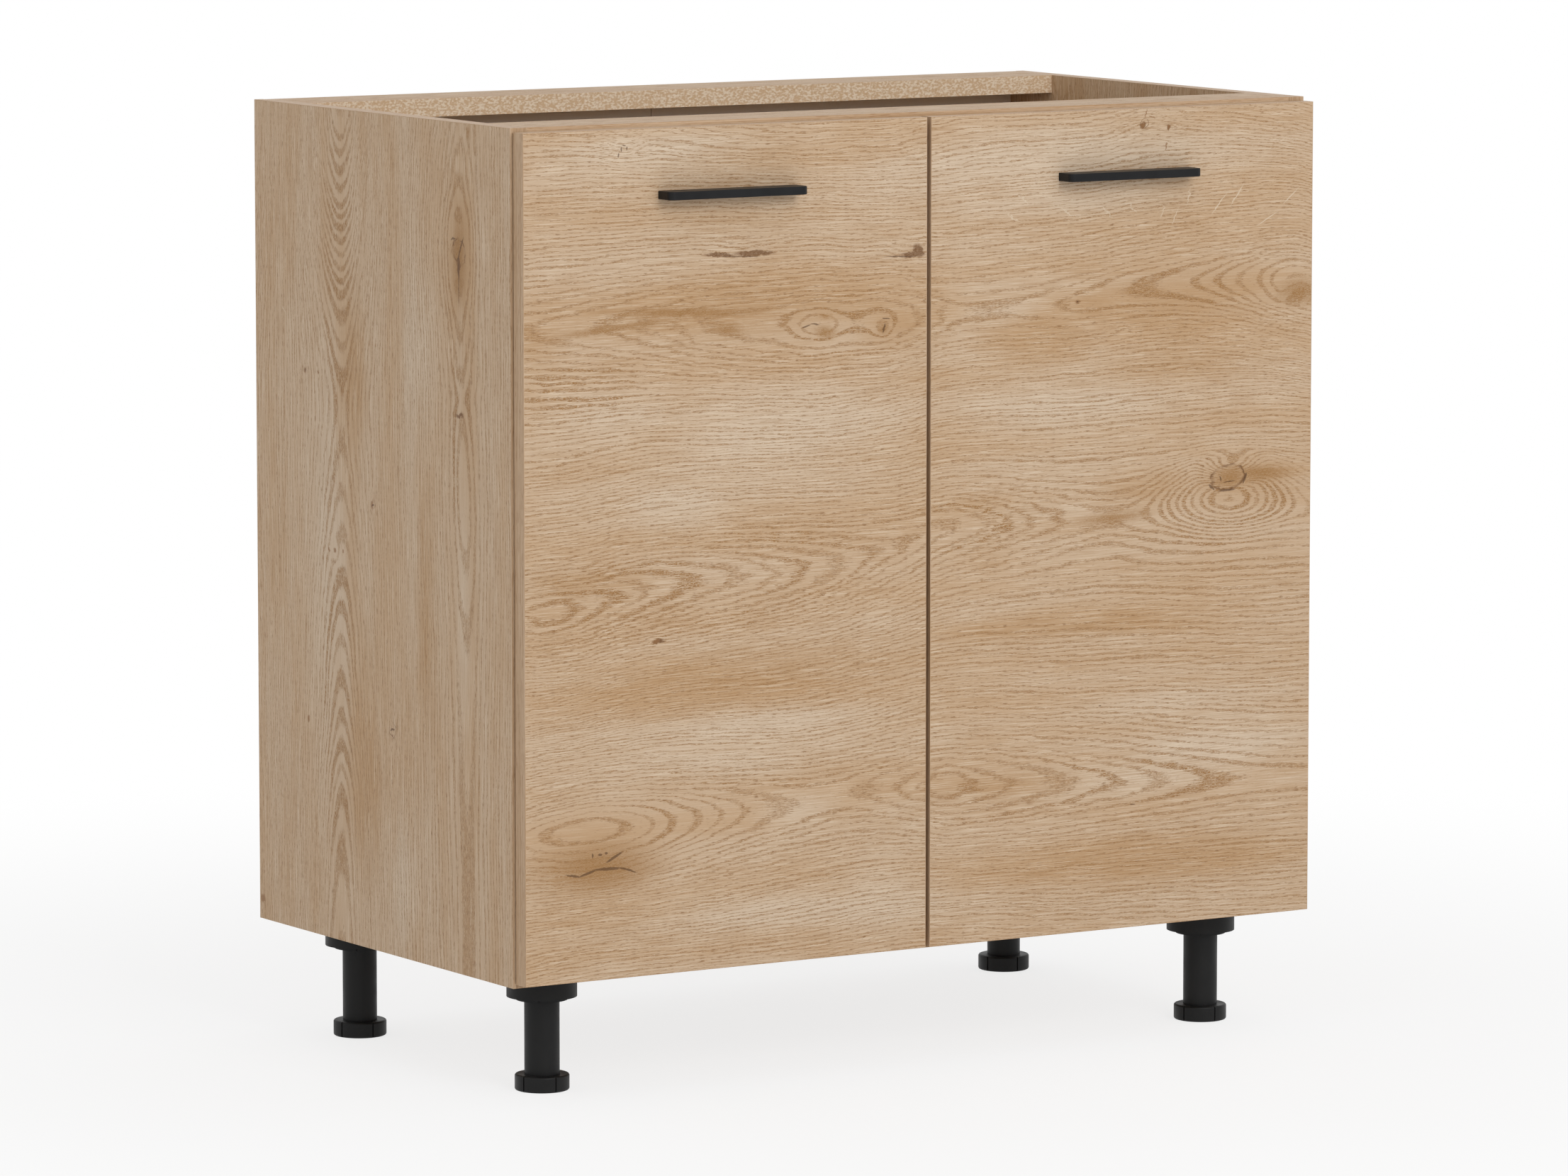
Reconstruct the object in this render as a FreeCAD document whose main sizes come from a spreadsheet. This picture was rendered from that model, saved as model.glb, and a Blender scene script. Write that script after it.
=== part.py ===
import FreeCAD, Part
import os
import re

# Modular kitchen base cabinet with two doors, an open top between two rails, and four screw legs.
# X runs to the right, Y to the back and Z up. The origin is on the floor, under the middle.

doc = FreeCAD.newDocument("ModularCabinet")
sheet = doc.addObject("Spreadsheet::Sheet", "Sizes")

sizes = {
    # carcass panels
    "width": 800,
    "depth": 446,
    "height": 720,
    "panel": 16,
    "legHeight": 100,
    "band": 0.5,
    "frontRailDepth": 66,
    "rearRailDepth": 68,
    # thin back in two halves, let into the rear edges of the sides
    "back": 3,
    "backInset": 0.4,
    "rebate": 8,
    "backSeam": 0.8,
    "backDrop": 2,
    "tape": 0.3,
    "tapeWidth": 50,
    # adjustable shelf on pins in the side panels' rows of holes
    "shelfGap": 0.5,
    "shelfInset": 30,
    "shelfBackGap": 5,
    "shelfLevel": 330,
    "shelfPinRadius": 2.5,
    "shelfPinDepth": 10,
    "shelfPinReach": 8,
    "holeDepth": 12,
    "holeInset": 37,
    "holeStep": 32,
    # dowels and cam fittings that join the panels
    "dowelRadius": 4,
    "dowelLength": 34,
    "dowelInSide": 11,
    "camRadius": 7.5,
    "camDepth": 12.5,
    "camInset": 24,
    "camSlotWidth": 1.6,
    "camSlotLength": 10,
    "camBoltRadius": 3,
    "camBoltInSide": 11,
    "camRow": 40,
    "railCamRow": 18,
    # nails that hold the back
    "nailRadius": 0.8,
    "nailLength": 18,
    "nailHeadRadius": 2,
    # doors
    "door": 16,
    "doorGap": 1.5,
    "sideReveal": 2,
    "middleGap": 4,
    "topReveal": 3.5,
    "bottomReveal": 3.5,
    "bumperRadius": 4,
    "bumperInset": 15,
    # handles
    "handleLength": 136,
    "handleReach": 20,
    "handleHeight": 7.1,
    "handleDrop": 55.8,
    "handleTop": 2,
    "handleLip": 2.5,
    "handleEnd": 8,
    "handleCorner": 5.5,
    "handleEase": 0.8,
    "handleScrewSpacing": 128,
    "handleScrewRadius": 2,
    "handleScrewHole": 2.25,
    "handleScrewGrip": 10,
    "handleScrewHeadRadius": 4,
    "handleScrewHeadHeight": 2.3,
    # concealed hinges: places are from the carcass's outer face and from its front plane
    "hingeInset": 96.5,
    "cupRadius": 17.5,
    "cupFit": 0.1,
    "cupDepth": 12,
    "cupFloor": 1,
    "cupTab": 4,
    "cupSlotEnd": 14.5,
    "cupSlotHalf": 7,
    "wingLength": 62,
    "wingStart": 18,
    "wingWidth": 16,
    "wingThick": 1.2,
    "cupPivotIn": 13,
    "cupPivotAhead": 6,
    "kneeIn": 19,
    "kneeAhead": 10,
    "armPivotIn": 35,
    "armPivotBehind": 3,
    "linkThick": 2,
    "linkFit": 0.3,
    "eyeRadius": 3,
    "pivotRadius": 1.5,
    "pivotFit": 0.05,
    "cupPinLength": 22,
    "armWall": 1.2,
    "armStart": 7,
    "armEnd": 62,
    "armRoof": 1.5,
    "armFoot": 20,
    "wallPlateHeight": 52,
    "wallPlateWidth": 18,
    "wallPlateThick": 2,
    "ribStart": 22,
    "ribEnd": 56,
    "plateScrewRadius": 2.5,
    "plateScrewDepth": 11,
    "plateScrewHeadRadius": 4,
    "plateScrewHeadHeight": 2,
    "armScrewRadius": 2,
    "armScrewGrip": 9,
    "armScrewHeadRadius": 3.4,
    "armScrewHeadHeight": 1.5,
    "armScrewFront": 27,
    "armScrewRear": 46,
    "cupScrewRadius": 1.75,
    "cupScrewGrip": 11,
    "cupScrewSpacing": 48,
    "cupScrewOffset": 4,
    "cupScrewHeadRadius": 3.2,
    "cupScrewHeadHeight": 0.8,
    # legs
    "legIn": 62.5,
    "legFrontRow": 60.5,
    "legRearRow": 67,
    "socketRadius": 30,
    "socketHeight": 19.7,
    "socketWall": 3,
    "socketTop": 3,
    "socketRib": 1.6,
    "hubRadius": 22,
    "hubDrop": 2.9,
    "hubNotch": 6,
    "hubNotchDepth": 1.5,
    "hubSlit": 2,
    "pegRadius": 4,
    "pegLength": 11,
    "pegSpread": 20,
    "tubeRadius": 15,
    "footRadius": 23.25,
    "footHeight": 13.8,
    "footRound": 1.8,
    "grooveWidth": 1.3,
    "grooveDepth": 1,
    "spindleRadius": 8,
    "spindleFit": 0.05,
    "spindleLength": 52,
    "spindleRoom": 6,
    # how far a cutting solid runs past the face it opens
    "over": 1,
}

SLIT_TURN = 235
FRONT_TURN = -90
GROOVES = 5
RIBS = 6
HOLES_EACH_WAY = 2
NAIL_SHARES = (0.1, 0.48, 0.84)
SIDE_NAIL_SHARES = (0.3, 0.7)

for row, (word, number) in enumerate(sizes.items(), start=1):
    sheet.set("A%d" % row, word)
    sheet.set("B%d" % row, str(number))
    sheet.setAlias("B%d" % row, word)
doc.recompute()

# places that several pieces share, as rules in the sheet's words
FRONT = "((handleReach + door + doorGap - depth) / 2)"
REAR = "(%s + depth)" % FRONT
BASE = "legHeight"
TOP = "(legHeight + height)"
LEFT = "(-width / 2)"
LEFT_INNER = "(-width / 2 + panel)"
INNER_WIDTH = "(width - 2 * panel)"
BACK_FRONT = "(%s - backInset - back)" % REAR
DOOR_REAR = "(%s - doorGap)" % FRONT
DOOR_FRONT = "(%s - doorGap - door)" % FRONT
DOOR_LEFT = "(%s + sideReveal)" % LEFT
DOOR_WIDTH = "((width - 2 * sideReveal - middleGap) / 2)"
DOOR_BOTTOM = "(legHeight + bottomReveal)"
DOOR_HEIGHT = "(height - topReveal - bottomReveal)"
DOOR_TOP = "(%s - topReveal)" % TOP
HANDLE_LEVEL = "(%s - handleDrop)" % DOOR_TOP
HANDLE_MIDDLE = "(%s + %s / 2)" % (DOOR_LEFT, DOOR_WIDTH)
CUP_MIDDLE = "(%s + sideReveal + cupTab + cupRadius)" % LEFT
HINGE_LEVELS = {
    "lower": "(%s + hingeInset)" % DOOR_BOTTOM,
    "upper": "(%s - hingeInset)" % DOOR_TOP,
}
ARM_ROOF = "(%s + armPivotIn + eyeRadius)" % LEFT
ARM_HALF = "(cupSlotHalf + armWall)"
SHELF_HOLES = "(legHeight + panel + shelfLevel - shelfPinRadius)"


def sized(rule):
    """Put the sheet's name before each of its words."""
    return re.sub("|".join(r"\b%s\b" % word for word in sizes), r"Sizes.\g<0>", rule)


def value(word):
    return float(sheet.get(word))


def bind(thing, rules):
    for prop, rule in rules.items():
        thing.setExpression(prop, sized(rule))


def move(thing, x, y, z):
    bind(thing, {"Placement.Base.x": x, "Placement.Base.y": y, "Placement.Base.z": z})


def block(name, x, y, z):
    """A box; each of x, y and z is its low side and its length."""
    box = doc.addObject("Part::Box", name)
    bind(box, {"Length": x[1], "Width": y[1], "Height": z[1]})
    move(box, x[0], y[0], z[0])
    return box


TURNS = {
    "X": FreeCAD.Rotation(FreeCAD.Vector(0, 1, 0), 90),
    "Y": FreeCAD.Rotation(FreeCAD.Vector(1, 0, 0), -90),
    "Z": FreeCAD.Rotation(),
}


def rod(name, along, radius, length, x, y, z):
    """A round bar that starts at x, y, z and runs along one axis."""
    bar = doc.addObject("Part::Cylinder", name)
    bar.Placement = FreeCAD.Placement(FreeCAD.Vector(), TURNS[along])
    bind(bar, {"Radius": radius, "Height": length})
    move(bar, x, y, z)
    return bar


def spoke(name, turn, axis, radial, width, tall):
    """A box that lies along a radius of an upright axis; radial and tall are start and length."""
    bar = doc.addObject("Part::Box", name)
    bar.Placement = FreeCAD.Placement(FreeCAD.Vector(), FreeCAD.Rotation(FreeCAD.Vector(0, 0, 1), turn))
    bind(bar, {"Length": radial[1], "Width": width, "Height": tall[1]})
    out = "(%s)" % radial[0]
    half = "(%s) / 2" % width
    x = "%s + %s * cos(%g deg) + %s * sin(%g deg)" % (axis[0], out, turn, half, turn)
    y = "%s + %s * sin(%g deg) - %s * cos(%g deg)" % (axis[1], out, turn, half, turn)
    move(bar, x, y, tall[0])
    return bar


def group(name, pieces):
    held = doc.addObject("Part::Compound", name)
    held.Links = pieces
    return held


def fused(name, pieces):
    whole = doc.addObject("Part::MultiFuse", name)
    whole.Shapes = pieces
    return whole


def cut(name, base, tools):
    rest = doc.addObject("Part::Cut", name)
    rest.Base = base
    rest.Tool = fused(name + "_tools", tools) if len(tools) > 1 else tools[0]
    return rest


def mirrored(name, source):
    """The same piece on the other side of the cabinet's middle plane."""
    image = doc.addObject("Part::Mirroring", name)
    image.Source = source
    image.Base = FreeCAD.Vector(0, 0, 0)
    image.Normal = FreeCAD.Vector(1, 0, 0)
    return image


def rounded(name, base, radius, wanted):
    """Round the edges of a piece that the test wants."""
    doc.recompute()
    soft = doc.addObject("Part::Fillet", name)
    soft.Base = base
    edges = enumerate(base.Shape.Edges, start=1)
    soft.Edges = [(number, radius, radius) for number, edge in edges if wanted(edge, base.Shape.BoundBox)]
    return soft


nodes = {}


def keep(name, piece):
    piece.Label = name
    nodes[name] = piece
    return piece


def keep_pair(name, piece):
    """Keep a left-hand piece and its image as the right-hand one."""
    keep(name % "left", piece)
    keep(name % "right", mirrored((name % "right") + "_image", piece))


def rail_rows():
    """Cam and dowel rows of the rails and the bottom panel, along Y, with each board's underside."""
    front_rail = ("%s + railCamRow" % FRONT, "%s + railCamRow + holeStep" % FRONT)
    rear_rail = ("%s - railCamRow" % BACK_FRONT, "%s - railCamRow - holeStep" % BACK_FRONT)
    bottom_front = ("%s + camRow" % FRONT, "%s + camRow + holeStep" % FRONT)
    bottom_rear = ("%s - camRow" % BACK_FRONT, "%s - camRow - holeStep" % BACK_FRONT)
    under_rail = "(%s - panel)" % TOP
    return {
        "front_rail": [(*front_rail, under_rail)],
        "rear_rail": [(*rear_rail, under_rail)],
        "bottom_panel": [(*bottom_front, BASE), (*bottom_rear, BASE)],
    }


def dowel(name, y, floor):
    start = "%s - dowelInSide" % LEFT_INNER
    return rod(name, "X", "dowelRadius", "dowelLength", start, y, "%s + panel / 2" % floor)


def cam_bolt(name, y, floor, end="camInset - camRadius"):
    start = "%s - camBoltInSide" % LEFT_INNER
    return rod(name, "X", "camBoltRadius", "camBoltInSide + " + end, start, y, "%s + panel / 2" % floor)


def cam_body(name, y, floor):
    return rod(name, "Z", "camRadius", "camDepth", "%s + camInset" % LEFT_INNER, y, floor)


def joint_tools(name, rows):
    """The bores and pockets of one panel's left end."""
    tools = []
    for count, (cam, wood, floor) in enumerate(rows):
        tools.append(dowel("%s_dowel_bore_%d" % (name, count), wood, floor))
        tools.append(cam_bolt("%s_bolt_bore_%d" % (name, count), cam, floor, end="camInset"))
        tools.append(cam_body("%s_cam_pocket_%d" % (name, count), cam, floor))
    return tools


def both_ends(name, tools):
    ends = fused(name + "_left_end", tools)
    return [ends, mirrored(name + "_right_end", ends)]


def shelf_hole_levels():
    steps = range(-HOLES_EACH_WAY, HOLES_EACH_WAY + 1)
    return ["%s + %d * holeStep" % (SHELF_HOLES, step) for step in steps]


HOLE_ROWS = {"front": "%s + holeInset" % FRONT, "rear": "%s - holeInset" % BACK_FRONT}


def side_panels():
    behind_band = ("%s + band" % FRONT, "depth - band")
    side = block("side_blank", (LEFT, "panel"), behind_band, (BASE, "height - band"))
    tools = [
        block(
            "side_rebate",
            ("%s - rebate" % LEFT_INNER, "rebate + over"),
            (BACK_FRONT, "back + backInset + over"),
            ("%s - over" % BASE, "height + 2 * over"),
        )
    ]
    bore = "%s - holeDepth" % LEFT_INNER
    for row, y in HOLE_ROWS.items():
        for count, level in enumerate(shelf_hole_levels()):
            name = "side_hole_%s_%d" % (row, count)
            tools.append(rod(name, "X", "shelfPinRadius", "holeDepth + over", bore, y, level))
    for panel_name, rows in rail_rows().items():
        for count, (cam, wood, floor) in enumerate(rows):
            tools.append(dowel("side_%s_dowel_%d" % (panel_name, count), wood, floor))
            tools.append(cam_bolt("side_%s_bolt_%d" % (panel_name, count), cam, floor))
    for name, level in HINGE_LEVELS.items():
        tools += plate_screw_shanks("side_%s_plate" % name, level)
    tools += side_nails("side_nail_bore", with_head=False)
    keep_pair("side_panel_%s", cut("side_panel", side, tools))


def side_edge_bands():
    front = block("side_front_band", (LEFT, "panel"), (FRONT, "band"), (BASE, "height"))
    behind_band = ("%s + band" % FRONT, "depth - band")
    top = block("side_top_band", (LEFT, "panel"), behind_band, ("%s - band" % TOP, "band"))
    notch = block(
        "side_top_band_notch",
        ("%s - rebate" % LEFT_INNER, "rebate + over"),
        (BACK_FRONT, "back + backInset + over"),
        ("%s - over" % TOP, "2 * over"),
    )
    keep_pair("side_edge_band_%s", group("side_edge_bands", [front, cut("side_top_band_cut", top, [notch])]))


def bottom_panel():
    board = block(
        "bottom_blank",
        (LEFT_INNER, INNER_WIDTH),
        ("%s + band" % FRONT, "depth - band - back - backInset"),
        (BASE, "panel"),
    )
    tools = both_ends("bottom", joint_tools("bottom", rail_rows()["bottom_panel"]))
    for corner, (x, y) in leg_places().items():
        tools += pegs("bottom_%s" % corner, x, y)
    nails = row_nails("bottom_nail_bore", "%s + panel / 2" % BASE, with_head=False)
    tools += both_ends("bottom_nails", nails)
    keep("bottom_panel", cut("bottom_board", board, tools))
    band = block("bottom_band", (LEFT_INNER, INNER_WIDTH), (FRONT, "band"), (BASE, "panel"))
    keep("bottom_edge_band", band)


def rails():
    level = "(%s - panel)" % TOP
    front = block(
        "front_rail_blank",
        (LEFT_INNER, INNER_WIDTH),
        ("%s + band" % FRONT, "frontRailDepth - band"),
        (level, "panel"),
    )
    tools = both_ends("front_rail", joint_tools("front_rail", rail_rows()["front_rail"]))
    keep("front_rail", cut("front_rail_board", front, tools))
    band = block("front_rail_band", (LEFT_INNER, INNER_WIDTH), (FRONT, "band"), (level, "panel"))
    keep("front_rail_edge_band", band)
    rear = block(
        "rear_rail_blank",
        (LEFT_INNER, INNER_WIDTH),
        ("%s - rearRailDepth" % BACK_FRONT, "rearRailDepth"),
        (level, "panel"),
    )
    tools = both_ends("rear_rail", joint_tools("rear_rail", rail_rows()["rear_rail"]))
    nails = row_nails("rail_nail_bore", "%s + panel / 2" % level, with_head=False)
    tools += both_ends("rail_nails", nails)
    keep("rear_rail", cut("rear_rail_board", rear, tools))


def back_panel():
    half = block(
        "back_half",
        ("%s - rebate" % LEFT_INNER, "width / 2 - panel + rebate - backSeam / 2"),
        (BACK_FRONT, "back"),
        (BASE, "height - backDrop"),
    )
    tools = row_nails("back_low_bore", "%s + panel / 2" % BASE, with_head=False)
    tools += row_nails("back_high_bore", "%s - panel / 2" % TOP, with_head=False)
    tools += side_nails("back_side_bore", with_head=False)
    keep_pair("back_panel_%s", cut("back_half_cut", half, tools))
    keep(
        "back_joint_tape",
        block(
            "tape_strip",
            ("-tapeWidth / 2", "tapeWidth"),
            ("%s - backInset" % REAR, "tape"),
            ("%s + panel" % BASE, "height - 2 * panel"),
        ),
    )


def nail(name, x, z, with_head):
    """A nail driven forwards through the back."""
    shank = rod(name, "Y", "nailRadius", "nailLength", x, "%s - backInset - nailLength" % REAR, z)
    if not with_head:
        return shank
    head = rod(name + "_head", "Y", "nailHeadRadius", "backInset", x, "%s - backInset" % REAR, z)
    return fused(name + "_nail", [shank, head])


def row_nails(name, level, with_head):
    """The left half's nails into a rail or the bottom panel."""
    nails = []
    for count, share in enumerate(NAIL_SHARES):
        x = "-tapeWidth / 2 - %g * (width / 2 - panel - tapeWidth / 2)" % share
        nails.append(nail("%s_%d" % (name, count), x, level, with_head))
    return nails


def side_nails(name, with_head):
    """The nails into the left side panel's rebate."""
    nails = []
    for count, share in enumerate(SIDE_NAIL_SHARES):
        level = "%s + %g * height" % (BASE, share)
        nails.append(nail("%s_%d" % (name, count), "%s - rebate / 2" % LEFT_INNER, level, with_head))
    return nails


def back_nails():
    nails = row_nails("low_nail", "%s + panel / 2" % BASE, with_head=True)
    nails += row_nails("high_nail", "%s - panel / 2" % TOP, with_head=True)
    nails += side_nails("side_nail", with_head=True)
    left = group("left_nails", nails)
    keep("back_nails", group("nails", [left, mirrored("right_nails", left)]))


def shelf():
    level = "(legHeight + panel + shelfLevel)"
    start = "(%s + shelfInset)" % FRONT
    x = ("%s + shelfGap" % LEFT_INNER, "%s - 2 * shelfGap" % INNER_WIDTH)
    length = "depth - back - backInset - shelfInset - shelfBackGap"
    keep("shelf", block("shelf_board", x, ("%s + band" % start, "%s - band" % length), (level, "panel")))
    keep("shelf_edge_band", block("shelf_band", x, (start, "band"), (level, "panel")))
    pins = []
    for row, y in HOLE_ROWS.items():
        at = "%s - shelfPinDepth" % LEFT_INNER
        reach = "shelfPinDepth + shelfPinReach"
        pins.append(rod("shelf_pin_%s" % row, "X", "shelfPinRadius", reach, at, y, SHELF_HOLES))
    left = group("left_shelf_pins", pins)
    keep("shelf_pins", group("all_shelf_pins", [left, mirrored("right_shelf_pins", left)]))


def fittings():
    """Dowels, cam bolts and slotted cams of every panel joint."""
    dowels = []
    bolts = []
    cams = []
    for name, rows in rail_rows().items():
        for count, (cam, wood, floor) in enumerate(rows):
            tag = "%s_%d" % (name, count)
            dowels.append(dowel("dowel_" + tag, wood, floor))
            bolts.append(cam_bolt("bolt_" + tag, cam, floor))
            slot = block(
                "cam_slot_" + tag,
                ("%s + camInset - camSlotLength / 2" % LEFT_INNER, "camSlotLength"),
                ("%s - camSlotWidth / 2" % cam, "camSlotWidth"),
                ("%s - over" % floor, "over + camSlotWidth"),
            )
            cams.append(cut("cam_" + tag, cam_body("cam_body_" + tag, cam, floor), [slot]))
    for name, pieces in {"wood_dowels": dowels, "cam_bolts": bolts, "cam_locks": cams}.items():
        left = group(name + "_left", pieces)
        keep(name, group(name + "_all", [left, mirrored(name + "_right", left)]))


def handle_screw_places():
    return {
        "outer": "%s - handleScrewSpacing / 2" % HANDLE_MIDDLE,
        "inner": "%s + handleScrewSpacing / 2" % HANDLE_MIDDLE,
    }


def doors():
    leaf = block(
        "door_blank",
        ("%s + band" % DOOR_LEFT, "%s - 2 * band" % DOOR_WIDTH),
        (DOOR_FRONT, "door"),
        ("%s + band" % DOOR_BOTTOM, "%s - 2 * band" % DOOR_HEIGHT),
    )
    tools = []
    for side, x in handle_screw_places().items():
        at = "%s - over" % DOOR_FRONT
        through = "door + 2 * over"
        tools.append(rod("door_%s_hole" % side, "Y", "handleScrewHole", through, x, at, HANDLE_LEVEL))
    for name, level in HINGE_LEVELS.items():
        at = "%s - cupDepth" % DOOR_REAR
        bore = "door_%s_cup_bore" % name
        tools.append(rod(bore, "Y", "cupRadius", "cupDepth + over", CUP_MIDDLE, at, level))
        tools += cup_screw_shanks("door_%s_screw" % name, level)
    keep_pair("door_%s", cut("door_leaf", leaf, tools))


def door_edge_bands():
    y = (DOOR_FRONT, "door")
    upright = (DOOR_BOTTOM, DOOR_HEIGHT)
    across = ("%s + band" % DOOR_LEFT, "%s - 2 * band" % DOOR_WIDTH)
    bands = [
        block("door_outer_band", (DOOR_LEFT, "band"), y, upright),
        block("door_inner_band", ("%s + %s - band" % (DOOR_LEFT, DOOR_WIDTH), "band"), y, upright),
        block("door_low_band", across, y, (DOOR_BOTTOM, "band")),
        block("door_high_band", across, y, ("%s - band" % DOOR_TOP, "band")),
    ]
    keep_pair("door_edge_bands_%s", group("door_bands", bands))


def door_bumpers():
    """Pads at the doors' free corners that meet the front rail and the bottom panel."""
    x = "%s + %s - bumperInset" % (DOOR_LEFT, DOOR_WIDTH)
    levels = {
        "high": "(%s - panel + %s) / 2" % (TOP, DOOR_TOP),
        "low": "(%s + panel + %s) / 2" % (BASE, DOOR_BOTTOM),
    }
    pads = []
    for at, level in levels.items():
        pads.append(rod("pad_" + at, "Y", "bumperRadius", "doorGap", x, DOOR_REAR, level))
    keep_pair("door_bumpers_%s", group("pads", pads))


def is_level(edge):
    return edge.BoundBox.ZLength < edge.Length / 2


def stands_at_front(edge, box):
    return not is_level(edge) and edge.CenterOfMass.y < box.Center.y


def rims(edge, box):
    """Every edge round the top and the bottom, but for the two that lie on the door."""
    return is_level(edge) and edge.BoundBox.YMin < box.Center.y


def handles():
    """A flat bar pull with a finger recess from below."""
    low = "(%s - handleHeight / 2)" % HANDLE_LEVEL
    front = "(%s - handleReach)" % DOOR_FRONT
    start = "(%s - handleLength / 2)" % HANDLE_MIDDLE
    bar = block("handle_blank", (start, "handleLength"), (front, "handleReach"), (low, "handleHeight"))
    bar = rounded("handle_corners", bar, value("handleCorner"), stands_at_front)
    bar = rounded("handle_rims", bar, value("handleEase"), rims)
    recess = block(
        "handle_recess",
        ("%s + handleEnd" % start, "handleLength - 2 * handleEnd"),
        ("%s + handleLip" % front, "handleReach - handleLip + over"),
        ("%s - over" % low, "handleHeight - handleTop + over"),
    )
    tools = [recess]
    for side, x in handle_screw_places().items():
        at = "%s - handleScrewGrip" % DOOR_FRONT
        grip = "handleScrewGrip + over"
        tools.append(rod("handle_%s_thread" % side, "Y", "handleScrewRadius", grip, x, at, HANDLE_LEVEL))
    keep_pair("handle_%s", cut("handle_bar", bar, tools))


def handle_screws():
    screws = []
    for side, x in handle_screw_places().items():
        at = "%s - handleScrewGrip" % DOOR_FRONT
        long = "handleScrewGrip + door"
        shank = rod("handle_%s_shank" % side, "Y", "handleScrewRadius", long, x, at, HANDLE_LEVEL)
        name = "handle_%s_screw_head" % side
        head = rod(name, "Y", "handleScrewHeadRadius", "handleScrewHeadHeight", x, DOOR_REAR, HANDLE_LEVEL)
        screws.append(fused("handle_%s_screw" % side, [shank, head]))
    keep_pair("handle_screws_%s", group("handle_screw_pair", screws))


def cup_screw_places(level):
    return {
        "below": (CUP_MIDDLE + " + cupScrewOffset", "%s - cupScrewSpacing / 2" % level),
        "above": (CUP_MIDDLE + " + cupScrewOffset", "%s + cupScrewSpacing / 2" % level),
    }


def cup_screw_shanks(name, level):
    shanks = []
    for at, (x, z) in cup_screw_places(level).items():
        y = "%s - cupScrewGrip" % DOOR_REAR
        shanks.append(rod("%s_%s" % (name, at), "Y", "cupScrewRadius", "cupScrewGrip + wingThick", x, y, z))
    return shanks


def plate_screw_shanks(name, level):
    shanks = []
    for count, sign in enumerate("-+"):
        z = "%s %s holeStep / 2" % (level, sign)
        x = "%s - plateScrewDepth" % LEFT_INNER
        y = "%s + holeInset" % FRONT
        long = "plateScrewDepth + wallPlateThick"
        shanks.append(rod("%s_%d" % (name, count), "X", "plateScrewRadius", long, x, y, z))
    return shanks


def arm_screw_shanks(name, level):
    shanks = []
    for row in ("armScrewFront", "armScrewRear"):
        x = "%s - armRoof - armScrewGrip" % ARM_ROOF
        y = "%s + %s" % (FRONT, row)
        long = "armScrewGrip + armRoof"
        shanks.append(rod("%s_%s" % (name, row), "X", "armScrewRadius", long, x, y, level))
    return shanks


def hinge_cup(name, level):
    floor = "%s - cupDepth" % DOOR_REAR
    body = rod(name + "_body", "Y", "cupRadius - cupFit", "cupDepth", CUP_MIDDLE, floor, level)
    wing = block(
        name + "_wing",
        ("%s + wingStart" % LEFT, "wingWidth"),
        (DOOR_REAR, "wingThick"),
        ("%s - wingLength / 2" % level, "wingLength"),
    )
    slot = block(
        name + "_slot",
        ("%s - cupSlotEnd" % CUP_MIDDLE, "2 * cupSlotEnd"),
        ("%s - cupDepth + cupFloor" % DOOR_REAR, "cupDepth + wingThick + over"),
        ("%s - cupSlotHalf" % level, "2 * cupSlotHalf"),
    )
    tools = [slot, cup_pin(name + "_pin_bore", level)] + cup_screw_shanks(name + "_screw_bore", level)
    return cut(name + "_cup", fused(name + "_solid", [body, wing]), tools)


def cup_pin(name, level):
    x = "%s + cupPivotIn" % LEFT
    y = "%s - cupPivotAhead" % FRONT
    return rod(name, "Z", "pivotRadius", "cupPinLength", x, y, "%s - cupPinLength / 2" % level)


def arm_pin(name, level):
    x = "%s + armPivotIn" % LEFT
    y = "%s + armPivotBehind" % FRONT
    return rod(name, "Z", "pivotRadius", "2 * %s" % ARM_HALF, x, y, "%s - %s" % (level, ARM_HALF))


def hinge_arm(name, level):
    """A channel that straddles the wall plate's rib and holds the arm pin in its two cheeks."""
    low = "(%s - %s)" % (level, ARM_HALF)
    foot = "(%s + armFoot)" % LEFT
    body = block(
        name + "_body",
        (foot, "armPivotIn + eyeRadius - armFoot"),
        ("%s + armStart" % FRONT, "armEnd - armStart"),
        (low, "2 * %s" % ARM_HALF),
    )
    nose = block(
        name + "_nose",
        ("%s + armPivotIn - eyeRadius" % LEFT, "2 * eyeRadius"),
        ("%s + armPivotBehind" % FRONT, "armStart - armPivotBehind + armRoof"),
        (low, "2 * %s" % ARM_HALF),
    )
    tip = rod(
        name + "_tip",
        "Z",
        "eyeRadius",
        "2 * %s" % ARM_HALF,
        "%s + armPivotIn" % LEFT,
        "%s + armPivotBehind" % FRONT,
        low,
    )
    channel = block(
        name + "_channel",
        ("%s - over" % foot, "armPivotIn + eyeRadius - armRoof - armFoot + over"),
        ("%s + armStart - over" % FRONT, "armEnd - armStart + 2 * over"),
        ("%s - cupSlotHalf" % level, "2 * cupSlotHalf"),
    )
    mouth = block(
        name + "_mouth",
        ("%s - over" % foot, "armPivotIn + eyeRadius - armFoot + 2 * over"),
        ("%s - eyeRadius" % FRONT, "armStart + eyeRadius"),
        ("%s - cupSlotHalf" % level, "2 * cupSlotHalf"),
    )
    bores = [arm_pin(name + "_pin_bore", level)] + arm_screw_shanks(name + "_screw_bore", level)
    return cut(name + "_arm", fused(name + "_solid", [body, nose, tip]), [channel, mouth] + bores)


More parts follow.
